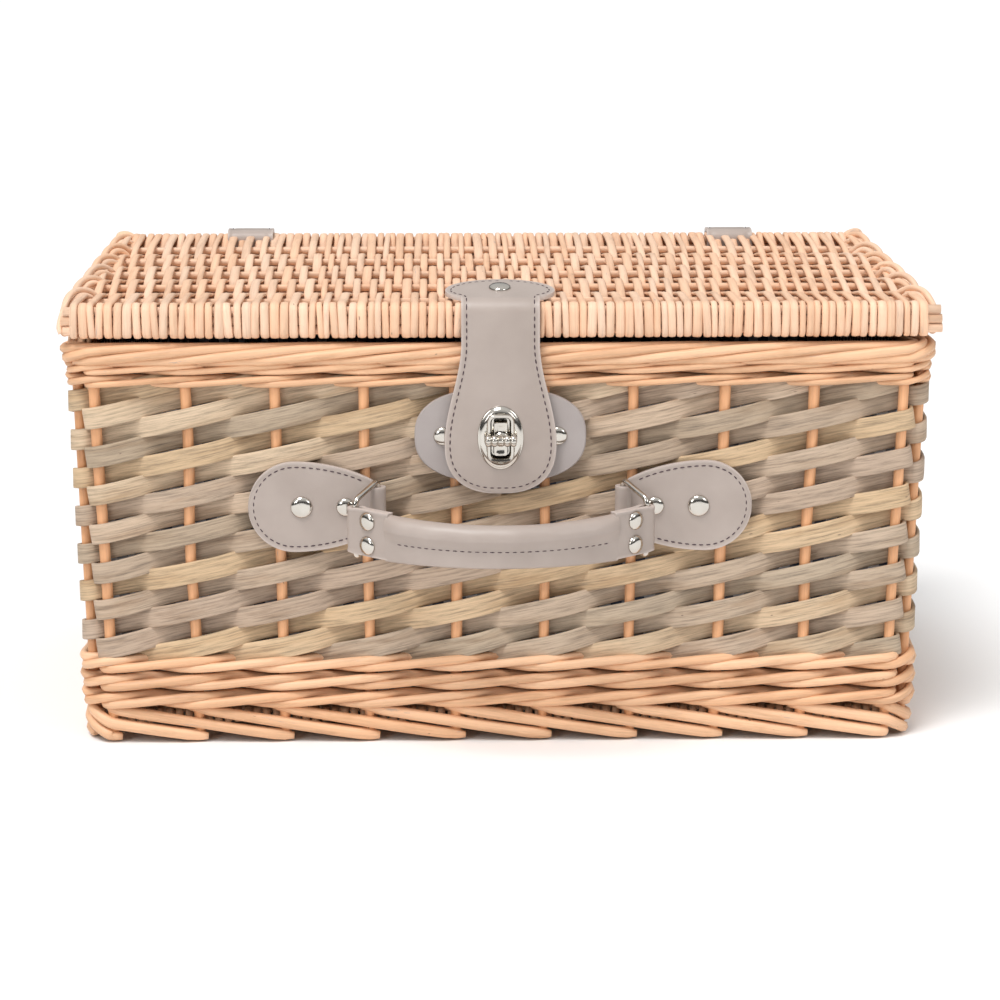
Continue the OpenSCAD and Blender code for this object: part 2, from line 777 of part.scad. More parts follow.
// Side view of a hinge strap: up the rear wall, over the lid's rear edge, down through the lid
function hinge_strap_inner() = [
    [wall_out(hinge_low) + wall_gap, hinge_low], [wall_out(hinge_kink_z) + wall_gap, hinge_kink_z],
    [hinge_y, border_z - 1], [hinge_y, lid_top - lid_chamfer], [hinge_y - lid_chamfer, strap_z],
    [hinge_tail_y + hinge_strap_t, strap_z], [hinge_tail_y + hinge_strap_t, hinge_tail_z]];
function hinge_strap_outer() = [
    [hinge_tail_y, hinge_tail_z], [hinge_tail_y, strap_z + hinge_strap_t],
    [hinge_y - lid_chamfer + 1, strap_z + hinge_strap_t], [hinge_y + hinge_strap_t, lid_top - lid_chamfer + 1],
    [hinge_y + hinge_strap_t, border_z - 2],
    [wall_out(hinge_kink_z) + wall_gap + hinge_strap_t, hinge_kink_z],
    [wall_out(hinge_low) + wall_gap + hinge_strap_t, hinge_low]];

module hinge_strap(side) {
    color(leather) difference() {
        translate([side * hinge_strap_x, 0, 0]) rotate([90, 0, 90]) linear_extrude(hinge_strap_w, center = true)
            polygon(concat(hinge_strap_inner(), hinge_strap_outer()));
        on_rear_wall(-side * hinge_strap_x, hinge_rivet_z) shank_hole(through / 4);
    }
}

module left_hinge_strap() {
    hinge_strap(-1);
}

module right_hinge_strap() {
    hinge_strap(1);
}

module hinge_strap_rivets() {
    color(nickel) for (side = [-1, 1]) on_rear_wall(side * hinge_strap_x, hinge_rivet_z)
        translate([0, 0, hinge_strap_t]) rivet(small_cap_d, hinge_strap_t + clamp_t + burr_t);
}

base_sticks();
base_weave();
foot_border();
lower_waling();
stakes();
split_willow_weave();
upper_waling();
rim_border();
body_lining();
lid_front_sticks();
lid_rear_sticks();
lid_cross_sticks();
lid_end_sticks();
lid_weave();
lid_end_bindings();
lid_lining();
closure_strap_head();
strap_head_rivet();
closure_strap();
eye_plate();
eye_back_plate();
lock_pad();
lock_pad_rivets();
lock_base();
turn_key();
key_pin();
left_handle_pad();
right_handle_pad();
handle_pad_rivets();
rivet_burrs();
left_ring();
right_ring();
handle_strap();
handle_grip();
handle_tab_rivets();
left_hinge_strap();
right_hinge_strap();
hinge_strap_rivets();
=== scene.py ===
"""A closed picnic hamper of split and whole willow, with a leather handle and a turn lock. Front towards -Y."""

import math

import bmesh
import bpy
import numpy as np
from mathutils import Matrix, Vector


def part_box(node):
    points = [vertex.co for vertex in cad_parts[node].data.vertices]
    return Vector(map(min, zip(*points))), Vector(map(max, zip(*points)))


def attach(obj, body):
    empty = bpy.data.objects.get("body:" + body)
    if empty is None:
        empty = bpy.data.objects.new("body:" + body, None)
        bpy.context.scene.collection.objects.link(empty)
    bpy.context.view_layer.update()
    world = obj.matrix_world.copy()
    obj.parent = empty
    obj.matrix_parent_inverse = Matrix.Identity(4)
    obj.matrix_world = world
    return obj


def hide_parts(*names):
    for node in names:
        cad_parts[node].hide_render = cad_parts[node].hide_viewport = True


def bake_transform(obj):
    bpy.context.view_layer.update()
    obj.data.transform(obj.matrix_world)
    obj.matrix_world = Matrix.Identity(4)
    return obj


bl_info = {
    "name": "Willow picnic hamper",
    "version": (1, 0, 0),
    "blender": (4, 5, 0),
    "location": "View3D > Sidebar > Hamper",
    "description": "Weaves the hamper's willow and cuts its leather and metal round the fixed frame",
    "category": "Object",
}

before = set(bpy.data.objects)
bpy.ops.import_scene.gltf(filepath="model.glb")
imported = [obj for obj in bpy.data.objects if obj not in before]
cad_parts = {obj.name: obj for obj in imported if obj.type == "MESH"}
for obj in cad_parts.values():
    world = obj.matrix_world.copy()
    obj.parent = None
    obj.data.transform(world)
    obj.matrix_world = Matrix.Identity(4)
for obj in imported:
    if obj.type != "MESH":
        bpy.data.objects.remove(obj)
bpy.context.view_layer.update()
MM = 0.001
LOOP_R = 3.85  # outer radius of the leather rolled round a ring, mm
RING_OUT = 5.55  # distance of a ring's bar from the back of its pad, mm
SMALL_RIVET, LARGE_RIVET = 9, 10.5  # diameters of the rivet caps, mm
HEAD_SLOPE = 0.17  # rise of the closure strap's head towards its back edge
CROSS_STICKS = 5  # pairs of sticks across the lid's strands
CROSS_IN = 2.5  # middle of the outermost pair from the end of their box, mm
STITCH_SINK = 0.12  # depth of a stitch in its groove, mm
chance = np.random.default_rng(11)


def box(node):
    """A node's lowest and highest corners, in mm."""
    return np.array([list(c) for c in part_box(node)], float) / MM


# ---------------------------------------------------------------- sizes and colours


def paint(code):
    """An sRGB hex colour as the linear values that materials take."""
    parts = [int(code[i : i + 2], 16) / 255 for i in (1, 3, 5)]
    return tuple(p / 12.92 if p <= 0.04045 else ((p + 0.055) / 1.055) ** 2.4 for p in parts)


def length(name, mm, about):
    """A size given in mm and kept in metres, as Blender's units want it."""
    return bpy.props.FloatProperty(
        name=name, description=about, default=mm * MM, min=0.1 * MM, max=500 * MM,
        precision=4, subtype="DISTANCE", unit="LENGTH",
    )


def colour(name, code, about):
    return bpy.props.FloatVectorProperty(
        name=name, description=about, default=paint(code), subtype="COLOR", size=3, min=0, max=1
    )


class WeaveSizes(bpy.types.PropertyGroup):
    """Sizes of the willow."""

    wall_t: length("Wall", 9.5, "Thickness of the woven wall")
    rim_t: length("Rim", 14, "Thickness of the rolled rim")
    foot_t: length("Foot", 11, "Thickness of the foot border")
    corner_r: length("Corner", 12, "Radius of the basket's corners")
    stake_d: length("Stake", 5.3, "Thickness of a stake")
    splint_t: length("Splint", 1.9, "Thickness of a split willow strip")
    wale_rod_d: length("Waling rod", 4.5, "Thickness of a rod in the lower waling")
    fine_rod_d: length("Fine rod", 3.1, "Thickness of a rod in the upper waling")
    border_rod_d: length("Border rod", 4.7, "Thickness of a rod in the rim")
    foot_rod_d: length("Foot rod", 5.8, "Thickness of a rod in the foot")
    lid_pitch: length("Lid strand pitch", 4.1, "Distance between the lid's strands")
    base_pitch: length("Base strand pitch", 4.7, "Distance between the base's strands")


class LeatherSizes(bpy.types.PropertyGroup):
    """Sizes of the leather."""

    thick: length("Leather", 2.2, "Thickness of the leather")
    seam_in: length("Seam", 2.5, "Distance of a seam from the edge")
    stitch: length("Stitch", 2.6, "Length of a stitch")
    stitch_gap: length("Stitch pitch", 3.4, "Distance between stitches")
    grip_mid: length("Grip", 20.5, "Height of the grip at its middle")
    grip_end: length("Grip end", 22.8, "Height of the grip at its ends")


class Colours(bpy.types.PropertyGroup):
    """Colours of the willow, leather, thread, cloth and metal."""

    lid: colour("Lid willow", "#E9C3A5", "Fine strands of the lid")
    rod: colour("Willow rod", "#E2B58F", "Peeled rods of the walings and borders")
    stake: colour("Stake", "#DFA77A", "Stakes of the wall")
    splint: colour("Splint", "#BBA68D", "Split willow of the wall")
    splint_rose: colour("Rosy splint", "#B29C88", "Split willow that dried pinkish grey")
    splint_gold: colour("Golden splint", "#C9AC88", "Split willow that stayed yellow")
    leather: colour("Leather", "#AA9D95", "Straps, pads and grip")
    lock_leather: colour("Lock pad leather", "#A69D9A", "Pad behind the lock")
    thread: colour("Thread", "#4A3A40", "Stitches")
    nickel: colour("Nickel", "#CFCAC2", "Rivets, rings and lock")
    check: colour("Check", "#4C566A", "Dark squares of the lining")
    cloth: colour("Cloth", "#D9DCE2", "Pale ground of the lining")


class Millimetres:
    """Reads a group's sizes in mm."""

    def __init__(self, group):
        self.group = group

    def __getattr__(self, name):
        return getattr(self.group, name) / MM


def weave_sizes():
    return Millimetres(bpy.context.scene.hamper_weave)


def leather_sizes():
    return Millimetres(bpy.context.scene.hamper_leather)


# ---------------------------------------------------------------- materials


def add(tree, kind, inputs=(), **settings):
    """Add a shader node with its settings, and set or link its inputs."""
    node = tree.nodes.new("ShaderNode" + kind)
    for key, value in settings.items():
        setattr(node, key, value)
    for key, value in dict(inputs).items():
        socket = node.inputs[key]
        if isinstance(value, bpy.types.NodeSocket):
            tree.links.new(value, socket)
        else:
            socket.default_value = value
    return node


def ramp(tree, fac, stops):
    """The colour of a ramp with stops of (place, tone), read at fac."""
    node = add(tree, "ValToRGB", {"Fac": fac})
    marks = node.color_ramp.elements
    while len(marks) < len(stops):
        marks.new(0.5)
    for mark, (place, tone) in zip(marks, stops):
        mark.position = place
        mark.color = (*tone, 1)
    return node.outputs["Color"]


def mixed(tree, how, fac, a, b):
    """Two colours mixed by fac."""
    return add(tree, "Mix", {0: fac, 6: a, 7: b}, data_type="RGBA", blend_type=how).outputs[2]


def grey(value):
    return (value, value, value)


def blank(name):
    """A new material with nothing in its tree."""
    material = bpy.data.materials.new(name)
    material.use_nodes = True
    material.node_tree.nodes.clear()
    return material, material.node_tree


def finish_surface(tree, colour_out, roughness, bump=None, strength=0.3, distance=0.3, **more):
    inputs = {"Base Color": colour_out, "Roughness": roughness}
    if bump is not None:
        inputs["Normal"] = add(
            tree, "Bump", {"Strength": strength, "Distance": distance * MM, "Height": bump}
        ).outputs[0]
    inputs.update({key.replace("_", " "): value for key, value in more.items()})
    skin = add(tree, "BsdfPrincipled", inputs)
    add(tree, "OutputMaterial", {"Surface": skin.outputs[0]})


def willow(name, tones, streak=0.25, fine=(0.02, 1.1), rough=0.62, stain=0.2, bump=0.35, grey_share=0.1):
    """Willow: fibres that follow each strand, slow stains along it, small dark knots, weathered grey patches and
    its own tint. Scales are turns in a mm, along the strand and across it."""
    material, tree = blank(name)
    strand = add(tree, "Attribute", attribute_name="strand").outputs["Vector"]
    tint = add(tree, "Attribute", attribute_name="tint").outputs["Fac"]

    def pattern(scale, size=1.0, detail=4, rough_detail=0.6):
        place = add(tree, "Mapping", {"Vector": strand, "Scale": (*scale, 1)}).outputs[0]
        noise = {"Vector": place, "Scale": size, "Detail": detail, "Roughness": rough_detail}
        return add(tree, "TexNoise", noise).outputs[0]

    base = ramp(tree, tint, [(i / (len(tones) - 1), t) for i, t in enumerate(tones)])
    fibre = pattern(fine, 1.6, 5, 0.7)
    streaks = ramp(tree, fibre, [(0.3, grey(1 - streak)), (0.5, grey(1.0)),
                                 (0.62, grey(1 + streak * 0.35)), (0.8, grey(1 - streak * 0.2))])
    toned = mixed(tree, "MULTIPLY", 1.0, base, streaks)
    stains = pattern((0.018, 0.12))
    marks = ramp(tree, stains, [(0.3, (1 - stain, 1 - stain * 1.25, 1 - stain * 1.5)),
                                (0.48, grey(1)), (0.7, (1.06, 1.07, 1.09))])
    toned = mixed(tree, "MULTIPLY", 1.0, toned, marks)
    weather = pattern((0.035, 0.25), 1.0, 6, 0.75)
    worn = ramp(tree, weather, [(0.62, grey(0)), (0.7, grey(grey_share * 6))])
    toned = mixed(tree, "MIX", worn, toned, (0.36, 0.31, 0.28, 1))
    knots = pattern((0.16, 0.5), 1.0, 2)
    dots = ramp(tree, knots, [(0.73, grey(0)), (0.77, grey(0.7))])
    toned = mixed(tree, "MIX", dots, toned, (0.12, 0.07, 0.05, 1))
    finish_surface(tree, toned, rough, fibre, bump, 0.25)
    return material


def near(tone, warm=0.0, light=1.0):
    """A tone shifted a little warmer or lighter."""
    r, g, b = tone[:3]
    return (min(r * light * (1 + warm), 1), min(g * light, 1), min(b * light * (1 - warm), 1))


# Turns of a pattern in a metre, from its real size
STICK_FIBRE = (20, 900, 900)  # fibres about 50 mm long and 1.1 mm apart
LEATHER_PEBBLE, LEATHER_FINE, LEATHER_MOTTLE = 1300, 700, 45  # 0.77 mm, 1.4 mm and 22 mm
THREAD_PLY = 2500  # 0.4 mm
METAL_WAVE = 160  # 6 mm


def stick_willow(name, tone):
    """Peeled sticks that lie along X: streaks drawn out along their length."""
    material, tree = blank(name)
    place = add(tree, "TexCoord").outputs["Object"]
    fibre_place = add(tree, "Mapping", {"Vector": place, "Scale": STICK_FIBRE}).outputs[0]
    fibre = add(tree, "TexNoise", {"Vector": fibre_place, "Scale": 1, "Detail": 4}).outputs[0]
    toned = ramp(tree, fibre, [(0.3, near(tone, 0.05, 0.8)), (0.6, tone)])
    finish_surface(tree, toned, 0.6, fibre, 0.3, 0.2)
    return material


def grained_leather(name, tone):
    """Coated split leather: a fine pebble of about 0.7 mm, faint mottling and a paler burnished edge."""
    material, tree = blank(name)
    place = add(tree, "TexCoord").outputs["Object"]
    pebble = add(tree, "TexVoronoi", {"Vector": place, "Scale": LEATHER_PEBBLE}).outputs["Distance"]
    mottle = add(tree, "TexNoise", {"Vector": place, "Scale": LEATHER_MOTTLE, "Detail": 3}).outputs[0]
    fine = add(tree, "TexNoise", {"Vector": place, "Scale": LEATHER_FINE, "Detail": 3}).outputs[0]
    edge = add(tree, "Attribute", attribute_name="edge").outputs["Fac"]
    base = ramp(tree, mottle, [(0.3, near(tone, 0.01, 0.93)), (0.7, near(tone, 0.0, 1.06))])
    base = mixed(tree, "MIX", edge, base, (*near(tone, -0.02, 1.35), 1))
    relief = add(tree, "Math", {0: pebble, 1: fine}, operation="ADD").outputs[0]
    rough = add(tree, "MapRange", {"Value": fine, "To Min": 0.34, "To Max": 0.48}).outputs[0]
    finish_surface(tree, base, rough, relief, 0.16, 0.12)
    return material


def waxed_thread(name, tone):
    """Dark twisted thread."""
    material, tree = blank(name)
    place = add(tree, "TexCoord").outputs["Object"]
    ply = add(tree, "TexNoise", {"Vector": place, "Scale": THREAD_PLY, "Detail": 2}).outputs[0]
    toned = ramp(tree, ply, [(0.35, near(tone, 0, 0.7)), (0.65, near(tone, 0, 1.4))])
    finish_surface(tree, toned, 0.75, ply, 0.3, 0.1)
    return material


def nickel_plate(name, tone):
    """Bright nickel plate with the slight waviness of pressed metal."""
    material, tree = blank(name)
    place = add(tree, "TexCoord").outputs["Object"]
    wave = add(tree, "TexNoise", {"Vector": place, "Scale": METAL_WAVE, "Detail": 2}).outputs[0]
    rough = add(tree, "MapRange", {"Value": wave, "To Min": 0.08, "To Max": 0.18}).outputs[0]
    toned = ramp(tree, wave, [(0.3, near(tone, 0.01, 0.92)), (0.7, tone)])
    finish_surface(tree, toned, rough, wave, 0.06, 0.3, Metallic=1.0)
    return material


def check_cotton(name, dark, pale):
    """Checked cotton: 5 mm stripes both ways, dark where two meet."""
    material, tree = blank(name)
    cloth = add(tree, "Attribute", attribute_name="cloth").outputs["Vector"]
    parts = add(tree, "SeparateXYZ", {0: cloth})
    stripes = []
    for axis in (0, 1):
        turn = add(tree, "Math", {0: parts.outputs[axis], 1: 0.1}, operation="MULTIPLY").outputs[0]
        part = add(tree, "Math", {0: turn}, operation="FRACT").outputs[0]
        stripes.append(add(tree, "Math", {0: part, 1: 0.5}, operation="GREATER_THAN").outputs[0])
    both = add(tree, "Math", {0: stripes[0], 1: stripes[1]}, operation="ADD").outputs[0]
    half = add(tree, "Math", {0: both, 1: 0.5}, operation="MULTIPLY").outputs[0]
    between = tuple((a + b) / 2 for a, b in zip(dark, pale))
    toned = ramp(tree, half, [(0.0, pale[:3]), (0.5, between), (1.0, dark[:3])])
    thread_place = add(tree, "Mapping", {"Vector": cloth, "Scale": (2.5, 2.5, 1)}).outputs[0]
    weave = add(tree, "TexNoise", {"Vector": thread_place, "Scale": 1, "Detail": 2}).outputs[0]
    finish_surface(tree, toned, 0.9, weave, 0.3, 0.2)
    return material


def make_materials():
    """Every finish on the hamper, named for what it really is."""
    tones = bpy.context.scene.hamper_colours
    rod, lid, stake, splint = (tuple(c) for c in (tones.rod, tones.lid, tones.stake, tones.splint))
    rose, gold = tuple(tones.splint_rose), tuple(tones.splint_gold)
    rods = [near(rod, 0.06, 0.84), near(rod, 0, 1.0), near(rod, 0.07, 0.93), near(rod, -0.03, 1.12),
            near(rod, 0.02, 1.02)]
    splints = [near(splint, 0, 0.8), rose, near(splint, 0, 1.0), near(gold, 0, 0.92), near(splint, 0.02, 1.1),
               near(rose, 0, 1.1), near(splint, -0.03, 0.88), gold, near(splint, 0, 1.15)]
    lids = [near(lid, 0.03, 0.93), near(lid, 0.06, 1.0), near(lid, -0.04, 1.04), near(lid, 0, 1.12)]
    stakes = [near(stake, 0.03, 0.95), near(stake, 0, 1.1)]
    return {
        # Whole rods boiled and stripped of bark: smooth, a little glossy, warm cream with stains and a few knots
        "rod": willow("peeled willow rod", rods, 0.16, (0.02, 0.7), 0.5, 0.3, 0.25),
        # Thicker rods of the same kind, standing straight: evener and a shade redder
        "stake": willow("peeled willow stake", stakes, 0.12, (0.02, 0.6), 0.5, 0.2, 0.2),
        # Rods split and shaved flat: a dry fibrous face that dried grey, rosy or yellow, strip by strip
        "splint": willow("split willow", splints, 0.5, (0.03, 0.6), 0.74, 0.25, 0.6, 0.06),
        # Thin rods soaked until they bend round the lid's edge: pale, even and close-grained
        "lid": willow("fine white willow", lids, 0.14, (0.03, 0.8), 0.6, 0.18, 0.25),
        # Straight sticks under the weave: pale, with long faint fibres
        "stick": stick_willow("white willow stick", near(lid, 0.05, 0.95)),
        # A grained coat pressed on split leather: a soft sheen over a fine pebble, paler where it was cut
        "leather": grained_leather("coated grey leather", tuple(tones.leather)),
        # The same sheet, unstitched: a touch cooler
        "pad": grained_leather("plain grey leather", tuple(tones.lock_leather)),
        # Twisted thread drawn through wax: dark and matt, with its ply just showing
        "thread": waxed_thread("waxed thread", tuple(tones.thread)),
        # Pressed metal plated with bright nickel: a warm white mirror with a slight waviness
        "nickel": nickel_plate("bright nickel plate", tuple(tones.nickel)),
        # Cotton woven from dyed yarn: a soft matt check, half tone where one dyed yarn crosses a pale one
        "cotton": check_cotton("checked cotton lining", tuple(tones.check), tuple(tones.cloth)),
        # Lid lining: a plain matt cloth in the lid's willow tone at about half strength and warmer, painted shade
        # for the dark pockets seen between the lid's strands
        "shade_toned_lining": check_cotton("lid lining in painted shade", near(lid, 0.08, 0.5), near(lid, 0.08, 0.55)),
    }


MATERIALS = {}


# ---------------------------------------------------------------- making pieces


def publish(name, mesh, body, slot, finish, *nodes):
    """Put a finished mesh in the scene as one piece of the hamper."""
    piece = bpy.data.objects.new(name, mesh)
    bpy.context.scene.collection.objects.link(piece)
    mesh.materials.append(MATERIALS[finish])
    if body:
        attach(piece, body)
    if nodes:
        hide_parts(*nodes)
    return piece


def to_mesh(bm, name, flat_caps=True):
    """The bmesh as a mesh, smooth but for its many-sided caps."""
    mesh = bpy.data.meshes.new(name)
    bm.to_mesh(mesh)
    bm.free()
    for face in mesh.polygons:
        face.use_smooth = not flat_caps or len(face.vertices) <= 4
    return mesh


def willow_piece(node, runs, sides=8, finish="rod"):
    """Lay the rods that stand for one of the basket's woven nodes."""
    return publish(node, lay_rods(node, runs, sides), "basket", "willow_rod", finish, node)


def lid_piece(node, runs, sides=8):
    """Lay the rods that stand for one of the lid's woven nodes."""
    return publish(node, lay_rods(node, runs, sides), "lid", "lid_willow", "lid", node)


def metal_piece(node, mesh, body):
    """Put in a metal piece that stands for its node."""
    return publish(node, mesh, body, "nickel", "nickel", node)


def stitches_of(node, lay, seams, body):
    """Sew the seams of a leather piece."""
    name = node + "_stitches"
    height = leather_sizes().thick - STITCH_SINK
    return publish(name, stitched(name, [sewn(lay, seams, height)]), body, "grey_leather", "thread")


def unit(v):
    return v / np.maximum(np.linalg.norm(v, axis=-1, keepdims=True), 1e-12)


def rod_stock(sides, rings):
    """A straight capped rod of unit size, marked off in rings along its length."""
    bm = bmesh.new()
    bmesh.ops.create_cone(bm, cap_ends=True, segments=sides, radius1=1, radius2=1, depth=1)
    long_edges = [e for e in bm.edges if abs(e.verts[0].co.z - e.verts[1].co.z) > 0.5]
    bmesh.ops.subdivide_edges(bm, edges=long_edges, cuts=rings - 2)
    return to_mesh(bm, "rod_stock")


def points_of(mesh):
    co = np.empty(len(mesh.vertices) * 3)
    mesh.vertices.foreach_get("co", co)
    return co.reshape(-1, 3)


def repeated(stock, count, name):
    """One mesh that holds count copies of the stock, in order."""
    bm = bmesh.new()
    for _ in range(count):
        bm.from_mesh(stock)
    mesh = to_mesh(bm, name)
    bpy.data.meshes.remove(stock)
    return mesh


def mark(mesh, name, kind, values):
    """Give each point of a mesh its own value, which its material reads."""
    attribute = mesh.attributes.new(name, kind, "POINT")
    attribute.data.foreach_set("vector" if kind == "FLOAT_VECTOR" else "value", np.ravel(values).astype(np.float32))


def lay_rods(name, runs, sides=8):
    """Bend one length of rod along each run: its middle line, its outward side, half width, half thickness,
    how square its section is and its tint."""
    rings = len(runs[0][0])
    stock = rod_stock(sides, rings)
    raw = points_of(stock)
    ring = np.rint((raw[:, 2] + 0.5) * (rings - 1)).astype(int)
    angle = np.arctan2(raw[:, 1], raw[:, 0])
    mesh = repeated(stock, len(runs), name)
    places, strands, tints = [], [], []
    for k, (path, out, half_w, half_t, square, tint) in enumerate(runs):
        tangent = unit(np.gradient(path, axis=0))
        out = unit(out - (out * tangent).sum(1, keepdims=True) * tangent)
        side = np.cross(out, tangent)
        c, s = np.cos(angle), np.sin(angle)
        c, s = (np.sign(a) * np.abs(a) ** (2 / square) for a in (c, s))
        w = np.broadcast_to(half_w, rings)[ring]
        t = np.broadcast_to(half_t, rings)[ring]
        places.append(path[ring] + side[ring] * (w * c)[:, None] + out[ring] * (t * s)[:, None])
        along = np.concatenate([[0], np.cumsum(np.linalg.norm(np.diff(path, axis=0), axis=1))])[ring]
        strands.append(np.stack([along, w * c + 2 * t * (s < 0), np.full(len(ring), 37.0 * k)], 1))
        tints.append(np.full(len(ring), tint))
    mesh.vertices.foreach_set("co", (np.concatenate(places) * MM).ravel())
    mark(mesh, "strand", "FLOAT_VECTOR", np.concatenate(strands))
    mark(mesh, "tint", "FLOAT", np.concatenate(tints))
    mesh.update()
    return mesh


def ring_edges(verts):
    inside = set(verts)
    return list({e for v in verts for e in v.link_edges if e.other_vert(v) in inside})


def loft(name, rings, closed=False, flat_caps=True, crease=40):
    """Join rings of points, each with the same count, into one closed skin. Points in mm."""
    bm = bmesh.new()
    hoops = []
    for ring in rings:
        verts = bmesh.ops.create_circle(bm, segments=len(ring), radius=1)["verts"]
        for vert, place in zip(verts, ring):
            vert.co = Vector(place) * MM
        hoops.append(verts)
    pairs = list(zip(hoops, hoops[1:])) + ([(hoops[-1], hoops[0])] if closed else [])
    loops = [ring_edges(h) for h in hoops]
    for a, b in zip(range(len(pairs)), [*range(1, len(hoops)), 0]):
        bmesh.ops.bridge_loops(bm, edges=loops[a] + loops[b])
    if not closed:
        for loop in (loops[0], loops[-1]):
            bmesh.ops.contextual_create(bm, geom=loop)
    bmesh.ops.recalc_face_normals(bm, faces=bm.faces[:])
    bm.normal_update()
    for edge in bm.edges:
        edge.smooth = edge.calc_face_angle(0) < math.radians(crease)
    return to_mesh(bm, name, flat_caps)


def joined(name, meshes):
    """Several meshes as one."""
    bm = bmesh.new()
    for mesh in meshes:
        bm.from_mesh(mesh)
        bpy.data.meshes.remove(mesh)
    return to_mesh(bm, name)


def circle(radius, count=32):
    turn = np.arange(count) * 2 * math.pi / count
    return np.stack([radius * np.cos(turn), radius * np.sin(turn)], 1)


def oval(width, height, count=64):
    return circle(1, count) * [width / 2, height / 2]


def soft_rectangle(width, height, radius, count=64):
    """A rounded rectangle whose points stay level with those of an oval of the same count."""
    turn = np.arange(count) * 2 * math.pi / count
    c, s = np.cos(turn), np.sin(turn)
    hw, hh = width / 2, height / 2
    grow = 1 / np.maximum(np.abs(c) / hw, np.abs(s) / hh)
    x, y = c * grow, s * grow
    cx, cy = np.sign(x) * (hw - radius), np.sign(y) * (hh - radius)
    corner = (np.abs(x) > hw - radius) & (np.abs(y) > hh - radius)
    away = unit(np.stack([x - cx, y - cy], 1)) * radius
    return np.where(corner[:, None], np.stack([cx, cy], 1) + away, np.stack([x, y], 1))


# ---------------------------------------------------------------- the wall


class Wall:
    """Places on the woven wall. u counts the stakes round it from the front left, z is the height and out is
    the distance outwards from the wall's middle, all in mm."""

    stakes_long, stakes_short = 10, 7
    inset_long, inset_short = 9.5, 7.0

    def __init__(self):
        sizes = weave_sizes()
        rim, foot = box("rim_border"), box("foot_border")
        self.corner = sizes.corner_r
        z_rim, z_foot = rim[0][2] + 3, foot[1][2] / 2 + 1.5
        rim_half, foot_half = rim[1] - sizes.rim_t / 2, foot[1] - sizes.foot_t / 2
        self.lean = (rim_half[0] - foot_half[0]) / (z_rim - z_foot)
        self.z0, self.z1 = 0.0, rim[1][2]
        self.low = foot_half[:2] - self.lean * z_foot
        self.high = rim_half[:2] + self.lean * (self.z1 - z_rim)
        self.count = 2 * (self.stakes_long + self.stakes_short)
        self.tables = [self.table(*self.low), self.table(*self.high)]
        self.around = self.tables[1]["length"]

    def table(self, w, d):
        """The outline with half width w and half depth d, anticlockwise from the front's left end."""
        r = self.corner
        runs = [(2 * (w - r), 0, (r - w, -d)), (2 * (d - r), 90, (w, r - d)),
                (2 * (w - r), 180, (w - r, d)), (2 * (d - r), 270, (-w, d - r))]
        s, x, y, heading = [], [], [], []
        at = 0.0
        for straight, turn, (x0, y0) in runs:
            t = math.radians(turn)
            for q in np.linspace(0, straight, 24):
                s.append(at + q), x.append(x0 + q * math.cos(t)), y.append(y0 + q * math.sin(t)), heading.append(t)
            at += straight
            cx, cy = x[-1] - r * math.sin(t), y[-1] + r * math.cos(t)
            for q in np.linspace(0, math.pi / 2, 14)[1:-1]:
                s.append(at + r * q), x.append(cx + r * math.sin(t + q)), y.append(cy - r * math.cos(t + q))
                heading.append(t + q)
            at += r * math.pi / 2
        s.append(at), x.append(x[0]), y.append(y[0]), heading.append(2 * math.pi)
        long_row = np.linspace(-1, 1, self.stakes_long) * (w - self.inset_long) + (w - r)
        short_row = np.linspace(-1, 1, self.stakes_short) * (d - self.inset_short) + (d - r)
        arc = math.pi / 2 * r
        side = 2 * (w - r) + arc
        end = side + 2 * (d - r) + arc
        stakes = np.concatenate([long_row, side + short_row, end + long_row, end + side + short_row])
        stakes = np.append(stakes, stakes[0] + at)
        return {"length": at, "s": np.array(s), "x": np.array(x), "y": np.array(y),
                "heading": np.array(heading), "stakes": stakes}

    def along(self, u, which=1):
        """Distance round the outline at stake count u."""
        table = self.tables[which]
        turns = np.floor(np.asarray(u) / self.count)
        place = np.interp(u - turns * self.count, np.arange(self.count + 1), table["stakes"])
        return place + turns * table["length"]

    def stake_at(self, s):
        """The stake count at distance s round the rim's outline."""
        fine = np.linspace(-2, 2 * self.count, 40 * self.count)
        return np.interp(s, self.along(fine), fine)

    def at(self, u, z, out):
        """Points in mm and their outward directions."""
        u, z, out = np.broadcast_arrays(np.asarray(u, float), np.asarray(z, float), np.asarray(out, float))
        ends = []
        for which, table in enumerate(self.tables):
            s = np.mod(self.along(u, which), table["length"])
            ends.append([np.interp(s, table["s"], table[key]) for key in ("x", "y", "heading")])
        heading = ends[1][2]
        outward = np.stack([np.sin(heading), -np.cos(heading), np.zeros_like(heading)], -1)
        t = (z - self.z0) / (self.z1 - self.z0)
        x = ends[0][0] * (1 - t) + ends[1][0] * t
        y = ends[0][1] * (1 - t) + ends[1][1] * t
        return np.stack([x, y, z], -1) + outward * out[..., None], outward

    def face(self, z):
        """Distance of the front wall's outer face from the middle of the basket."""
        return self.low[1] + self.lean * z + weave_sizes().wall_t / 2


class Fitting:
    """A place on the front wall's outer face: x across, up along the wall and out from the leather's back."""

    gap = 0.23

    def __init__(self, wall, z):
        self.z, self.y = z, -(wall.face(z) + self.gap)
        self.tilt = math.atan(wall.lean)

    def at(self, x, up, out):
        x, up, out = np.broadcast_arrays(np.asarray(x, float), np.asarray(up, float), np.asarray(out, float))
        c, s = math.cos(self.tilt), math.sin(self.tilt)
        return np.stack([x, self.y - out * c - up * s, self.z - out * s + up * c], -1)


def rounded(points, times=3):
    """A line with its corners cut off, again and again, until it is smooth."""
    for _ in range(times):
        a, b = points[:-1], points[1:]
        cut = np.stack([a * 0.75 + b * 0.25, a * 0.25 + b * 0.75], 1).reshape(-1, points.shape[1])
        points = np.concatenate([points[:1], cut[1:-1], points[-1:]])
    return points


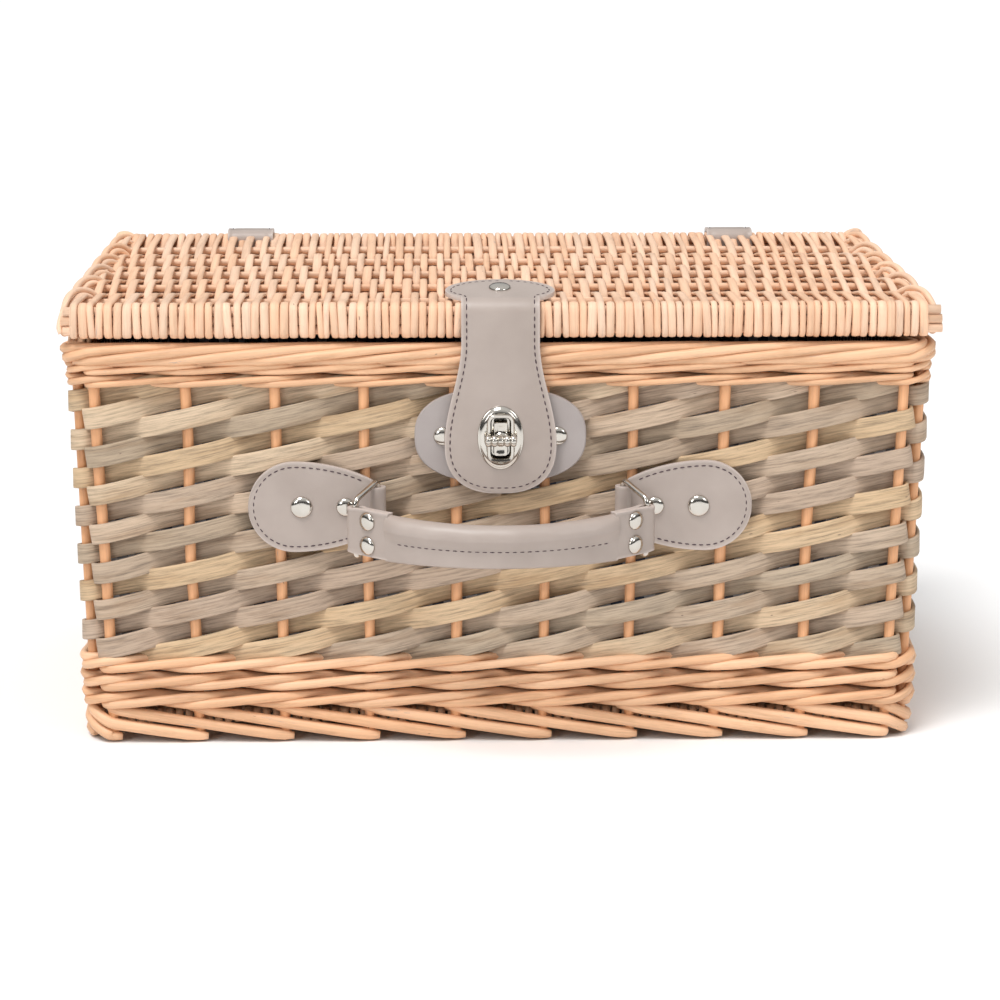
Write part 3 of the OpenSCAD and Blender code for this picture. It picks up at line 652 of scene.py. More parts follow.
def wander(count, size, steps=5):
    """A slow random drift along a rod."""
    knots = chance.normal(0, size, steps)
    return np.interp(np.linspace(0, steps - 1, count), np.arange(steps), knots)


# ---------------------------------------------------------------- willow


class HAMPER_OT_stakes(bpy.types.Operator):
    """Set up the stakes of the wall"""

    bl_idname = "hamper.stakes"
    bl_label = "Stakes"

    def execute(self, context):
        wall, sizes = Wall(), weave_sizes()
        low, high = box("stakes")[:, 2]
        rings = 12
        runs = []
        for k in range(wall.count):
            z = np.linspace(low, high, rings)
            u = k + wander(rings, 0.012)
            path, out = wall.at(u, z, 0)
            half = sizes.stake_d / 2 * chance.uniform(0.93, 1.04)
            runs.append((path, out, half, half, 2.0, chance.uniform()))
        willow_piece("stakes", runs, 12, "stake")
        return {"FINISHED"}


class HAMPER_OT_splints(bpy.types.Operator):
    """Weave the split willow strips in and out of the stakes, each climbing to the right"""

    bl_idname = "hamper.splints"
    bl_label = "Split willow weave"
    courses = 14

    def execute(self, context):
        wall, sizes = Wall(), weave_sizes()
        low, high = box("split_willow_weave")[:, 2]
        pitch = (high - low) / self.courses
        strips, past_end = 30, 0.55
        climb = strips * pitch / wall.around
        reach = (sizes.stake_d + sizes.splint_t) / 2 + 0.05
        snap = 1.5  # how flat a strip lies on a stake before it turns in
        runs = []
        for k in range(strips):
            start = wall.around * (strips - k - 0.5 - past_end) / strips
            stop = wall.around * (strips - k - 0.5 + self.courses + past_end) / strips
            u0, u1 = wall.stake_at(start), wall.stake_at(stop)
            u = np.linspace(u0, u1, 200)
            s = wall.along(u)
            wave = np.cos(math.pi * (u + k))
            out = reach * np.tanh(snap * wave) / math.tanh(snap)
            z = low + pitch * (k + 0.5) - climb * wall.around + climb * s + wander(len(u), 0.25, 12)
            # Both ends are tucked in behind the walings
            beyond = np.maximum(z - (high - 4), (low + 4) - z)
            out = np.where(beyond > 0, np.minimum(out, reach - 0.9 * beyond), out)
            path, outward = wall.at(u, z, out)
            half_w = pitch * 0.53 * (1 + wander(len(u), 0.03, 9))
            runs.append((path, outward, half_w, sizes.splint_t / 2, 9.0, chance.uniform()))
        # Cut in two so that neither piece is too heavy
        halves = (("splints_even", runs[::2], ("split_willow_weave",)), ("splints_odd", runs[1::2], ()))
        for name, part, nodes in halves:
            publish(name, lay_rods(name, part, 12), "basket", "split_willow", "splint", *nodes)
        return {"FINISHED"}


def wale(wall, z, rod_d, lift):
    """One row of waling: each of three rods passes in front of two stakes and behind one."""
    phase_rods, per_stake = 3, 8
    reach = (weave_sizes().stake_d + rod_d) / 2 - 0.2
    start = wall.stakes_long + wall.stakes_short + 3.4  # the ends are behind the rear wall
    runs = []
    for j in range(phase_rods):
        u = start + np.linspace(-0.6, wall.count + 0.6, wall.count * per_stake + 1)
        phase = (u - j) / phase_rods
        out = reach * np.tanh(2.2 * (0.12 - np.cos(2 * math.pi * phase)))
        height = z + lift * np.sin(2 * math.pi * (phase - 0.5))
        path, outward = wall.at(u, height, out)
        half = rod_d / 2 * (1 + wander(len(u), 0.06, 40))
        runs.append((path, outward, half, half, 2.2, chance.uniform()))
    return runs


class HAMPER_OT_walings(bpy.types.Operator):
    """Wale the rows of whole rods below and above the split willow"""

    bl_idname = "hamper.walings"
    bl_label = "Walings"

    def execute(self, context):
        wall, sizes = Wall(), weave_sizes()
        low, high = box("lower_waling")[:, 2]
        rows = 3
        row_h = (high - low) / rows
        runs = []
        for row in range(rows):
            runs += wale(wall, low + row_h * (row + 0.5), sizes.wale_rod_d, 2.2)
        willow_piece("lower_waling", runs)
        low, high = box("upper_waling")[:, 2]
        runs = []
        for row in range(2):
            runs += wale(wall, low + (high - low) * (row + 0.5) / 2, sizes.fine_rod_d, 1.6)
        willow_piece("upper_waling", runs)
        return {"FINISHED"}


class HAMPER_OT_rim_border(bpy.types.Operator):
    """Roll the stakes' ends over into the rim"""

    bl_idname = "hamper.rim_border"
    bl_label = "Rim border"

    def execute(self, context):
        wall, sizes = Wall(), weave_sizes()
        low, high = box("rim_border")[:, 2]
        half = sizes.border_rod_d / 2
        wide = sizes.rim_t / 2 - half
        # Each rod's way up the rim's face, over it and down inside: distance outwards and height
        section = np.array([(0.5, low - 0.5), (wide, low + 1.2), (wide + 0.3, low + 3.6), (wide, high - half - 1.6),
                            (wide * 0.45, high - half - 0.7), (-wide * 0.5, high - half - 0.7),
                            (-wide, high - half - 1.8), (-wide, low + 1.5)])
        section = respaced(rounded(section), 48, 0)
        stakes_passed = 5.2
        runs = []
        for k in range(wall.count):
            shift = chance.uniform(-0.4, 0.4)
            u = k + np.linspace(0, stakes_passed, 48) + 0.05 * shift
            path, outward = wall.at(u, section[:, 1] + wander(48, 0.12), section[:, 0])
            thick = half * (1 + wander(48, 0.05)) * np.linspace(1.04, 0.86, 48)
            runs.append((path, outward + [0, 0, 0.4], thick, thick, 2.1, chance.uniform()))
        willow_piece("rim_border", runs)
        return {"FINISHED"}


class HAMPER_OT_foot_border(bpy.types.Operator):
    """Lay the foot's slanting rods, each tucked under the next"""

    bl_idname = "hamper.foot_border"
    bl_label = "Foot border"

    def execute(self, context):
        wall, sizes = Wall(), weave_sizes()
        top = box("foot_border")[1][2]
        half = sizes.foot_rod_d / 2
        outer = sizes.foot_t / 2 - half
        stakes_passed, start_in = 2.22, 1.5
        runs = []
        for k in range(wall.count):
            p = np.linspace(0, 1, 40)
            u = k - 0.12 + p * stakes_passed
            left = (1 - p) ** 1.12
            z = (top + 0.8) * left + (half - 0.1) * (1 - left)
            out = -start_in + (outer + start_in) * np.clip(p * 9, 0, 1) - 0.9 * p * (p > 0.9)
            path, outward = wall.at(u, z, out)
            thick = half * (1 + wander(len(u), 0.04)) * np.clip((1.03 - p) / 0.09, 0.25, 1) ** 0.5
            path[:, 2] = np.maximum(path[:, 2], thick + 0.01)
            runs.append((path, outward, thick, thick, 2.2, chance.uniform()))
        willow_piece("foot_border", runs)
        return {"FINISHED"}


class HAMPER_OT_base(bpy.types.Operator):
    """Weave the base over its sticks"""

    bl_idname = "hamper.base"
    bl_label = "Base"

    def execute(self, context):
        wall, sizes = Wall(), weave_sizes()
        (x0, _, z0), (x1, y1, z1) = box("base_weave")
        sticks, margin = 6, 2
        span = 2 * (wall.low[1] - sizes.wall_t - 12)
        rows = [span * (i / (sticks - 1) - 0.5) for i in range(sticks)]
        count = int((x1 - x0 - 2 * margin) / sizes.base_pitch)
        runs = []
        middle, swing = (z0 + z1) / 2, (z1 - z0) / 2 - 1.1
        for k in range(count + 1):
            x = x0 + margin + (x1 - x0 - 2 * margin) * k / count
            inset = max(0.0, 8 - (x - x0), 8 - (x1 - x))
            reach = y1 - 0.3 - inset
            y = np.linspace(-reach, reach, 64)
            knots = [-reach, *rows, reach]
            heights = [(-1) ** (i + k) for i in range(len(knots))]
            z = middle + swing * np.interp(y, knots, heights)
            line = np.stack([y, z], 1)
            wrap = np.array([(reach - 1, z0 + 1.2), (reach + 1.2, z0 + 1.4), (reach + 1.5, middle),
                             (reach + 1.2, z1 - 1.4), (reach - 1, z1 - 1.2)])
            line = np.concatenate([wrap * [-1, 1], line[3:-3], wrap[::-1]])
            line = respaced(rounded(line, 1), 72, 3)
            path = np.insert(line, 0, x, axis=1)
            out = np.cross(unit(np.gradient(path, axis=0)), [1.0, 0, 0])
            runs.append((path, out, sizes.base_pitch * 0.42, 1.0, 2.6, chance.uniform()))
        willow_piece("base_weave", runs, 6)
        dress("base_sticks", "stick")
        return {"FINISHED"}


def dress(node, finish):
    """Give a node that keeps its shape its real finish."""
    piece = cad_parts[node]
    for slot in piece.material_slots:
        slot.material = MATERIALS[finish]
    if not piece.material_slots:
        piece.data.materials.append(MATERIALS[finish])


def round_bundle(y, low, high, reach_y, reach_z, way, steps=9):
    """A strand's path down the inside of an edge bundle, under it and up its face to its top. way is -1 in
    front."""
    inside = [(y - way * reach_y, high - 4), (y - way * reach_y, low)]
    under = [(y - way * reach_y * math.cos(a), low - reach_z * math.sin(a))
             for a in np.linspace(0, math.pi, steps)[1:]]
    over = [(y + way * reach_y * math.cos(a), high + reach_z * math.sin(a))
            for a in np.linspace(0, math.pi / 2, steps // 2 + 1)]
    return inside + under + over


def respaced(points, count, keep):
    """count points along a line, closer together round its bends."""
    points = np.array(points, float)
    step = np.linalg.norm(np.diff(points, axis=0), axis=1)
    heading = unit(np.diff(points, axis=0))
    bend = np.arccos(np.clip((heading[1:] * heading[:-1]).sum(1), -1, 1))
    weight = step + keep * (np.append(bend, 0) + np.insert(bend, 0, 0)) / 2
    s = np.insert(np.cumsum(weight), 0, 0)
    return np.stack([np.interp(np.linspace(0, s[-1], count), s, points[:, i]) for i in range(points.shape[1])], 1)


class HAMPER_OT_lid_weave(bpy.types.Operator):
    """Weave the lid's strands round its front and rear edges and over and under its cross sticks"""

    bl_idname = "hamper.lid_weave"
    bl_label = "Lid weave"

    def execute(self, context):
        pitch = weave_sizes().lid_pitch
        x0, x1 = box("lid_weave")[:, 0]
        stick_low, stick_high = box("lid_front_sticks")
        d = 4.8  # thickness of an edge stick
        y_edge = abs(stick_low[1] + stick_high[1]) / 2
        low, high = stick_low[2] + d / 2 + 0.7, stick_high[2] - d / 2 - 0.1
        cross_low, cross_high = box("lid_cross_sticks")
        cross_z = (cross_low[2] + cross_high[2]) / 2
        rows = np.linspace(cross_low[1] + CROSS_IN, cross_high[1] - CROSS_IN, CROSS_STICKS)
        count = int(round((x1 - x0) / pitch))
        widths = chance.uniform(0.76, 1.24, count)
        widths = widths / widths.sum() * (x1 - x0)
        centres = x0 + np.cumsum(widths) - widths / 2
        runs = []
        for k, (x, width) in enumerate(zip(centres, widths)):
            # How far the strand's middle lies from the sticks' middles, round the edges and over the cross sticks
            reach_y, reach_z = 3.85 + chance.uniform(-0.25, 0.3), 3.15 + chance.uniform(-0.2, 0.1)
            front = round_bundle(-y_edge, low, high, reach_y, reach_z, -1)
            rear = round_bundle(y_edge, low, high, reach_y, reach_z, 1)[::-1]
            ride = 3.3 + chance.uniform(-0.25, 0.2)
            heights = [cross_z + (ride if (i + k) % 2 == 0 else -ride) for i in range(CROSS_STICKS)]
            knots_y = [-y_edge, *rows, y_edge]
            knots_z = [high + reach_z, *heights, high + reach_z]
            y = np.linspace(-y_edge, y_edge, 81)
            segment = np.clip(np.searchsorted(knots_y, y, "right") - 1, 0, CROSS_STICKS)
            a, b = np.array(knots_y)[segment], np.array(knots_y)[segment + 1]
            t = (y - a) / (b - a)
            t = (t + t * t * (3 - 2 * t)) / 2  # half straight, half eased
            za, zb = np.array(knots_z)[segment], np.array(knots_z)[segment + 1]
            panel = list(zip(y, za + (zb - za) * t))[1:-1]
            line = respaced(front + panel + rear, 84, 7.0)
            lean = chance.normal(0, 0.03)
            at_edge = np.abs(line[:, 0]) > y_edge - 6
            drift = wander(len(line), 0.3, 7) + lean * np.clip(line[:, 1] - 208, -8, 8) * at_edge
            path = np.stack([x + drift, line[:, 0], line[:, 1]], 1)
            tangent = unit(np.gradient(path, axis=0))
            out = np.cross(tangent, [1.0, 0, 0])
            flat = np.clip((np.abs(line[:, 0]) - (y_edge - 5)) / 4, 0, 1)
            half_w = (0.485 - 0.01 * flat) * width * (1 + wander(len(line), 0.04, 9))
            half_t = 1.05 + 0.12 * flat
            runs.append((path, out, half_w, half_t, 2.7, chance.uniform()))
        lid_piece("lid_weave", runs)
        return {"FINISHED"}


class HAMPER_OT_lid_sticks(bpy.types.Operator):
    """Cut the lid's sticks, a little uneven, and bind its ends"""

    bl_idname = "hamper.lid_sticks"
    bl_label = "Lid sticks and end bindings"

    def execute(self, context):
        for node in ("lid_front_sticks", "lid_rear_sticks"):
            low, high = box(node)
            runs = []
            for i in range(3):
                n = 16
                x = np.linspace(low[0] + chance.uniform(2.5, 4), high[0] - chance.uniform(0, 1.2), n)
                y = (low[1] + high[1]) / 2 + wander(n, 0.15)
                z = low[2] + 3.0 + i * (high[2] - low[2] - 5.6) / 2
                path = np.stack([x, np.broadcast_to(y, n), np.full(n, z)], 1)
                runs.append((path, np.tile([0.0, 0, 1], (n, 1)), 2.25, 2.2, 2.0, chance.uniform()))
            lid_piece(node, runs, 12)
        low, high = box("lid_cross_sticks")
        rows = np.linspace(low[1] + CROSS_IN, high[1] - CROSS_IN, CROSS_STICKS)
        runs = []
        for y in rows:
            for shift in (-1.45, 1.45):
                n = 24
                x = np.linspace(low[0], high[0], n)
                path = np.stack([x, y + shift + wander(n, 0.15), (low[2] + high[2]) / 2 + wander(n, 0.15)], 1)
                runs.append((path, np.tile([0.0, 0, 1], (n, 1)), 1.45, 1.7, 2.0, chance.uniform()))
        lid_piece("lid_cross_sticks", runs)
        dress("lid_end_sticks", "stick")
        low, high = box("lid_end_bindings")
        outer, top = high[0], high[2]
        # A loop's way up from under the lid's end, along its edge and in under the weave
        long_loop = np.array([(-0.6, -64, -13.5), (0.2, -52, -11), (0.3, -36, -5), (-0.6, -20, 0.2),
                              (-2.5, -8, 1.5), (-6, 0, 1.4), (-9.5, 4, -0.6), (-13, 7, -5)])
        short_loop = np.array([(-3, -50, -13), (-2.2, -38, -10), (-2.4, -24, -4), (-4.6, -13, -0.8),
                               (-8, -7, -0.6), (-11, -4, -3), (-13, -2, -7)])
        spacing = (rows[-1] - rows[0]) / (CROSS_STICKS - 1)
        runs = []
        for side in (-1, 1):
            for i in range(8):
                for loop, half in ((long_loop, 2.1), (short_loop, 1.75)):
                    y0 = rows[0] + (i - 0.75) * spacing * 0.86 + chance.uniform(-3, 3)
                    line = loop + [outer - half, y0, top - 1.2] + chance.normal(0, 0.25, (len(loop), 3))
                    line[:, 1] = np.clip(line[:, 1], low[1] - 5, high[1] + 5)
                    if np.ptp(line[:, 1]) < 18:
                        continue
                    line = respaced(rounded(line), 40, 2) * [side, 1, 1]
                    centre = np.array([side * (outer - 7), 0, top - 7]) * [1, 0, 1] + line * [0, 1, 0]
                    runs.append((line, unit(line - centre), half, 1.6, 2.2, chance.uniform()))
        lid_piece("lid_end_bindings", runs)
        return {"FINISHED"}


# ---------------------------------------------------------------- cloth


class HAMPER_OT_linings(bpy.types.Operator):
    """Sew the checked linings of the basket and the lid"""

    bl_idname = "hamper.linings"
    bl_label = "Linings"

    def execute(self, context):
        wall = Wall()
        low, high = box("body_lining")[:, 2]
        inner = -weave_sizes().wall_t / 2 - 1.8
        n = 220  # points round the cloth
        u = np.linspace(0, wall.count, n, endpoint=False)
        rings, cloth = [], []
        around = np.linspace(0, wall.around, n, endpoint=False)
        for z in np.linspace(high, low + 1.5, 22):
            ripple = 0.35 * np.sin(around / 21 + z / 30) + 0.25 * np.sin(around / 8.3)
            rings.append(wall.at(u, z, inner + ripple)[0])
            cloth.append(np.stack([around, np.full(n, z), np.zeros(n)], 1))
        floor = rings[-1]
        for t in (0.97, 0.8, 0.6, 0.4, 0.2, 0.04):  # in over the base, as shares of its half width
            ring = floor * [t, t, 0] + [0, 0, low + 0.9 + 0.25 * math.sin(9 * t)]
            rings.append(ring)
            cloth.append(np.stack([ring[:, 0], ring[:, 1], np.zeros(n)], 1))
        bm = bmesh.new()
        layer = bm.verts.layers.float_vector.new("cloth")
        hoops = []
        for ring, place in zip(rings, cloth):
            verts = bmesh.ops.create_circle(bm, segments=n, radius=1)["verts"]
            for vert, p, q in zip(verts, ring, place):
                vert.co = Vector(p) * MM
                vert[layer] = Vector(q)
            hoops.append(ring_edges(verts))
        for a, b in zip(hoops, hoops[1:]):
            bmesh.ops.bridge_loops(bm, edges=a + b)
        bmesh.ops.contextual_create(bm, geom=hoops[-1])
        bmesh.ops.recalc_face_normals(bm, faces=bm.faces[:])
        mesh = to_mesh(bm, "body_lining", False)
        piece = publish("body_lining", mesh, "basket", "lining_cloth", "cotton", "body_lining")
        width, depth = 2 * (wall.high[0] + inner), 2 * (wall.high[1] + inner)
        drop = high - low
        flat_w, flat_d = width + 2 * drop, depth + 2 * drop
        area = flat_w * flat_d - 4 * drop * drop
        flat_d * MM
        flat_w * MM
        area * MM * MM
        low, high = box("lid_lining")
        bm = bmesh.new()
        bmesh.ops.create_grid(bm, x_segments=80, y_segments=54, size=1)
        layer = bm.verts.layers.float_vector.new("cloth")
        middle = (low + high) / 2
        half = (high - low) / 2
        for v in bm.verts:
            x, y = v.co.x * half[0], v.co.y * half[1]
            v[layer] = Vector((x, y, 0))
            sag = 0.3 * math.sin(x / 19) * math.cos(y / 23)
            v.co = Vector((middle[0] + x, middle[1] + y, middle[2] + sag)) * MM
        mesh = to_mesh(bm, "lid_lining", False)
        # The lid's lining takes the darkened warm cloth: painted shade that shows through the gaps of the lid's
        # weave
        piece = publish("lid_lining", mesh, "lid", "lining_cloth", "shade_toned_lining", "lid_lining")
        return {"FINISHED"}


# ---------------------------------------------------------------- leather

# Where a strip's columns lie across its half width, closer together at the seams and edges
COLUMNS = np.array([-1, -0.97, -0.92, -0.86, -0.8, -0.72, -0.6, -0.4, -0.2, 0,
                    0.2, 0.4, 0.6, 0.72, 0.8, 0.86, 0.92, 0.97, 1])


def leather_strip(name, lay, rows, half, thick, cut=None, edge_round=0.5):
    """Cut a strip of leather and bend it: lay(l, x, h) gives the place of a point of the flat strip, half gives
    the half width at each of its rows and cut the half width and the two ends of a window."""
    bm = bmesh.new()
    bmesh.ops.create_grid(bm, x_segments=len(COLUMNS) - 1, y_segments=len(rows) - 1, size=1)
    along, across, edge = (bm.verts.layers.float.new(key) for key in ("along", "across", "edge"))
    for v in bm.verts:
        row = int(round((v.co.y + 1) / 2 * (len(rows) - 1)))
        column = int(round((v.co.x + 1) / 2 * (len(COLUMNS) - 1)))
        w = half(rows[row])
        v[along], v[across] = rows[row], COLUMNS[column] * w
        v[edge] = max(0.0, 1 - (w - abs(v[across])) / 1.2)
    if cut:
        inside = [f for f in bm.faces
                  if all(abs(v[across]) < cut[0] and cut[1] < v[along] < cut[2] for v in f.verts)]
        bmesh.ops.delete(bm, geom=inside, context="FACES")
    made = bmesh.ops.extrude_face_region(bm, geom=bm.faces[:])
    upper = {g for g in made["geom"] if isinstance(g, bmesh.types.BMVert)}
    l = np.array([v[along] for v in bm.verts])
    x = np.array([v[across] for v in bm.verts])
    w = np.array([half(a) for a in l])
    top = np.array([v in upper for v in bm.verts])
    seam_in = leather_sizes().seam_in
    groove_depth, groove_w = 0.28, 0.8
    groove = groove_depth * np.exp(-(((w - np.abs(x)) - seam_in) / groove_w) ** 2)
    h = np.where(top, thick - groove, 0.0)
    for v, place in zip(bm.verts, lay(l, x, h)):
        v.co = Vector(place) * MM
    bmesh.ops.remove_doubles(bm, verts=bm.verts[:], dist=0.03 * MM)
    bmesh.ops.recalc_face_normals(bm, faces=bm.faces[:])
    bm.normal_update()
    sharp = [e for e in bm.edges if len(e.link_faces) == 2 and e.calc_face_angle(0) > math.radians(55)]
    bmesh.ops.bevel(bm, geom=sharp, offset=edge_round * MM, segments=2, profile=0.5, affect="EDGES",
                    material=-1, clamp_overlap=True)
    return to_mesh(bm, name, False)


def inset(points, distance):
    """An open line moved to its left by a distance."""
    points = np.array(points, float)
    heading = unit(np.gradient(points, axis=0))
    return points + np.stack([-heading[:, 1], heading[:, 0]], 1) * distance


def sewn(lay, seams, height):
    """Stitches along flat seams: pairs of ends and the leather's outward direction."""
    sizes = leather_sizes()
    ends = []
    for seam in seams:
        step = np.linalg.norm(np.diff(seam, axis=0), axis=1)
        s = np.insert(np.cumsum(step), 0, 0)
        starts = np.arange(1.0, s[-1] - sizes.stitch, sizes.stitch_gap)
        for shift in (0, sizes.stitch):
            ends.append(np.stack([np.interp(starts + shift, s, seam[:, i]) for i in (0, 1)], 1))
    first = np.concatenate(ends[0::2])
    last = np.concatenate(ends[1::2])
    a = lay(first[:, 0], first[:, 1], np.full(len(first), height))
    b = lay(last[:, 0], last[:, 1], np.full(len(last), height))
    up = unit(lay(first[:, 0], first[:, 1], np.full(len(first), height + 1)) - a)
    return a, b, up


def stitched(name, sets):
    """One mesh of low oval stitches."""
    a, b, up = (np.concatenate([s[i] for s in sets]) for i in range(3))
    bm = bmesh.new()
    bmesh.ops.create_icosphere(bm, subdivisions=1, radius=1)
    stock = to_mesh(bm, "stitch")
    raw = points_of(stock)
    mesh = repeated(stock, len(a), name)
    along = (b - a) / 2
    half_w, half_t = 0.36, 0.32
    side = np.cross(up, unit(along)) * half_w
    places = ((a + b) / 2)[:, None] + raw[None, :, :1] * along[:, None] + raw[None, :, 1:2] * side[:, None]
    places = places + raw[None, :, 2:3] * (up * half_t)[:, None]
    mesh.vertices.foreach_set("co", (places * MM).ravel())
    mesh.update()
    return mesh


def both_sides(rows, half, first, last):
    """The two seams of a strip, inside its edges."""
    edge = np.array([(l, half(l)) for l in rows])
    line = inset(edge, -leather_sizes().seam_in)
    line = line[(line[:, 1] > 0.4) & (line[:, 0] > first) & (line[:, 0] < last)]
    return [line, line * [1, -1]]


def head_rise(y):
    """How far the stiff head of the closure strap stands up off the lid towards its back edge."""
    return HEAD_SLOPE * np.clip(y + 136, 0, 40)


def end_rows(start, stop, count):
    """Rows that crowd together towards a rounded end."""
    return start + (stop - start) * (1 - np.cos(np.linspace(0, math.pi / 2, count)))


class HAMPER_OT_closure_strap(bpy.types.Operator):
    """Cut the closure strap: its head on the lid, its bend and its tongue over the lock"""

    bl_idname = "hamper.closure_strap"
    bl_label = "Closure strap"

    def execute(self, context):
        thick = leather_sizes().thick
        head, flap = box("closure_strap_head"), box("closure_strap")
        eye, neck_z = box("eye_plate"), box("rim_border")[1][2]
        inner_y, z_lie = -flap[1][1], head[1][2] - thick
        bend = 5.4
        bend_y, bend_z = -(inner_y - bend), z_lie - bend
        tip_y = head[1][1] + 2.5
        flat = tip_y - bend_y
        arc = bend * math.pi / 2
        tongue_w, neck_w, head_w, head_back = flap[1][0], 18.5, 26.0, 17.0
        bottom = flat + arc + bend_z - flap[0][2]
        tongue = bottom - 24
        neck_end = flat + arc + bend_z - neck_z

        def lay(l, x, h):
            """Forwards along the lid, round its edge and down the front."""
            turn = np.clip((l - flat) / bend, 0, math.pi / 2)
            down = np.maximum(l - flat - arc, 0)
            reach = np.minimum(l, flat)
            y = tip_y - reach - (bend + h) * np.sin(turn)
            z = z_lie - bend + (bend + h) * np.cos(turn) - down + head_rise(y)
            crown = 0.35 * (1 - (x / 20) ** 2) * (l > flat + arc) * np.clip(down / 20, 0, 1)
            return np.stack([x, y - crown, z], -1)

        def half(l):
            """Half the strap's width: round head, straight neck, wide round tongue."""
            if l < flat + 0.5:
                depth = head_back if l < head_back else 13.5
                round_w = head_w * math.sqrt(max(1 - ((l - head_back) / depth) ** 2, 0))
                return max(round_w, neck_w) if l > head_back else round_w
            if l < neck_end:
                return neck_w
            if l < tongue:
                t = (l - neck_end) / (tongue - neck_end)
                return neck_w + (tongue_w - neck_w) * t * t * (3 - 2 * t)
            return tongue_w * max(1 - ((l - tongue) / (bottom - tongue)) ** 2.5, 0) ** 0.4

        rows = np.concatenate([
            end_rows(0, head_back, 12), np.linspace(head_back + 1, flat, 10), flat + np.linspace(0.1, 1, 8) * arc,
            np.linspace(flat + arc + 3, tongue, 34), bottom - end_rows(0, bottom - tongue, 16)[::-1][1:]])
        eye_mid = flat + arc + bend_z - (eye[0][2] + eye[1][2]) / 2
        window = (5.4, eye_mid - 11.5, eye_mid + 11.5)
        mesh = leather_strip("closure_strap", lay, rows, half, thick, window)
        nodes = ("closure_strap_head", "closure_strap")
        piece = publish("closure_strap", mesh, None, "grey_leather", "leather", *nodes)
        bend_from = (0, bend_y * MM, z_lie * MM)
        bend_to = (0, -inner_y * MM, bend_z * MM)
        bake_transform(piece)
        right, left = both_sides(rows, half, 2, bottom)
        seams = [np.concatenate([right, left[::-1], right[:1]])]
        threads = stitches_of("closure_strap", lay, seams, None)
        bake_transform(threads)
        return {"FINISHED"}


class HAMPER_OT_lock_pad(bpy.types.Operator):
    """Cut the plain oval pad behind the lock"""

    bl_idname = "hamper.lock_pad"
    bl_label = "Lock pad"

    def execute(self, context):
        thick = leather_sizes().thick
        low, high = box("lock_pad")
        z = (low[2] + high[2]) / 2
        spot = Fitting(Wall(), z)
        w, h = high[0] - low[0], high[2] - low[2]
        rings = [(0.992, 0), (1.0, 0.4), (1.0, thick - 0.6), (0.985, thick), (0.93, thick + 0.05),
                 (0.6, thick + 0.1), (0.2, thick + 0.1)]
        outline = oval(w, h, 96)
        outline *= (1 / (np.abs(outline[:, :1] * 2 / w) ** 2.5 + np.abs(outline[:, 1:] * 2 / h) ** 2.5)) ** 0.4
        mesh = loft("lock_pad", [spot.at(*(outline * grow).T, out) for grow, out in rings], flat_caps=False)
        publish("lock_pad", mesh, "basket", "grey_leather", "pad", "lock_pad")
        return {"FINISHED"}


class HAMPER_OT_handle_pads(bpy.types.Operator):
    """Cut the two stitched handle pads and roll their ends round the rings"""

    bl_idname = "hamper.handle_pads"
    bl_label = "Handle pads"

    def execute(self, context):
        thick = leather_sizes().thick
        wall = Wall()
        for side, name in ((-1, "left_handle_pad"), (1, "right_handle_pad")):
            low, high = box(name)
            spot = Fitting(wall, (low[2] + high[2]) / 2)
            outer = high[0] if side > 0 else -low[0]
            inner = (low[0] if side > 0 else -high[0]) + LOOP_R
            tall = (high[2] - low[2]) / 2
            flat = outer - inner - 3
            roll = LOOP_R - thick / 2
            start, wrap = -math.pi / 2, math.radians(250)

            def lay(l, x, h, side=side, spot=spot):
                """Inwards along the wall, then up off it and round the ring's bar."""
                turn = start - np.clip((l - flat - 3) / roll, 0, wrap)
                rise = np.clip((l - flat + 9) / 12, 0, 1)
                rise = (RING_OUT - LOOP_R) * rise * rise * (3 - 2 * rise)
                lying = l < flat + 3
                out = np.where(lying, rise + h, RING_OUT + (roll + thick / 2 - h) * np.sin(turn))
                px = np.where(lying, outer - l, inner + (roll + thick / 2 - h) * np.cos(turn))
                return spot.at(side * px, x, out)

            def half(l):
                if l < tall:
                    return math.sqrt(max(tall**2 - (tall - l) ** 2, 0))
                t = min((l - tall) / (flat - tall), 1)
                shoulder = min(max((l - flat) / 3, 0), 1)
                return (tall - 8.4 * t * t) * (1 - shoulder) + 10.8 * shoulder

            length_all = flat + 3 + roll * wrap
            rows = np.concatenate([end_rows(0, tall, 18), np.linspace(tall + 2, flat, 14),
                                   np.linspace(flat + 1, length_all, 26)])
            mesh = leather_strip(name, lay, rows, half, thick)
            piece = publish(name, mesh, None, "grey_leather", "leather", name)
            near_loop = tuple(spot.at(side * (inner + 10), 0, 0) * MM)
            at_loop = tuple(spot.at(side * (inner + 1), 0, 0) * MM)
            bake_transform(piece)
            right, left = both_sides(rows, half, 2, flat - 3)
            seams = [np.concatenate([right[::-1], left])]
            stitches_of(name, lay, seams, "basket")
        return {"FINISHED"}


class HandleLine:
    """Places on the handle: a is the angle round its arc, off is outwards from its middle and up is up."""

    def __init__(self):
        strap = box("handle_strap")
        self.spot = Fitting(Wall(), (strap[0][2] + strap[1][2]) / 2 + 6.5 + 0.6)
        ring = box("right_ring")
        self.loop_x = ring[0][0] + 1.4
        # The middle of the ring's outer bar, how far the handle bows out past it and how far it hangs
        self.tab_x, self.tab_out, self.bow, self.drop = ring[1][0] - 1.4, 19.05, 31.0, 6.5
        self.radius = (self.tab_x**2 + self.bow**2) / (2 * self.bow)
        self.centre = self.radius - self.bow - self.tab_out
        self.end = math.asin(self.tab_x / self.radius)
        self.grip_end = self.end - math.radians(13)

    def at(self, a, off, up):
        r = self.radius + off
        return self.spot.at(r * np.sin(a), up - self.drop, r * np.cos(a) - self.centre)


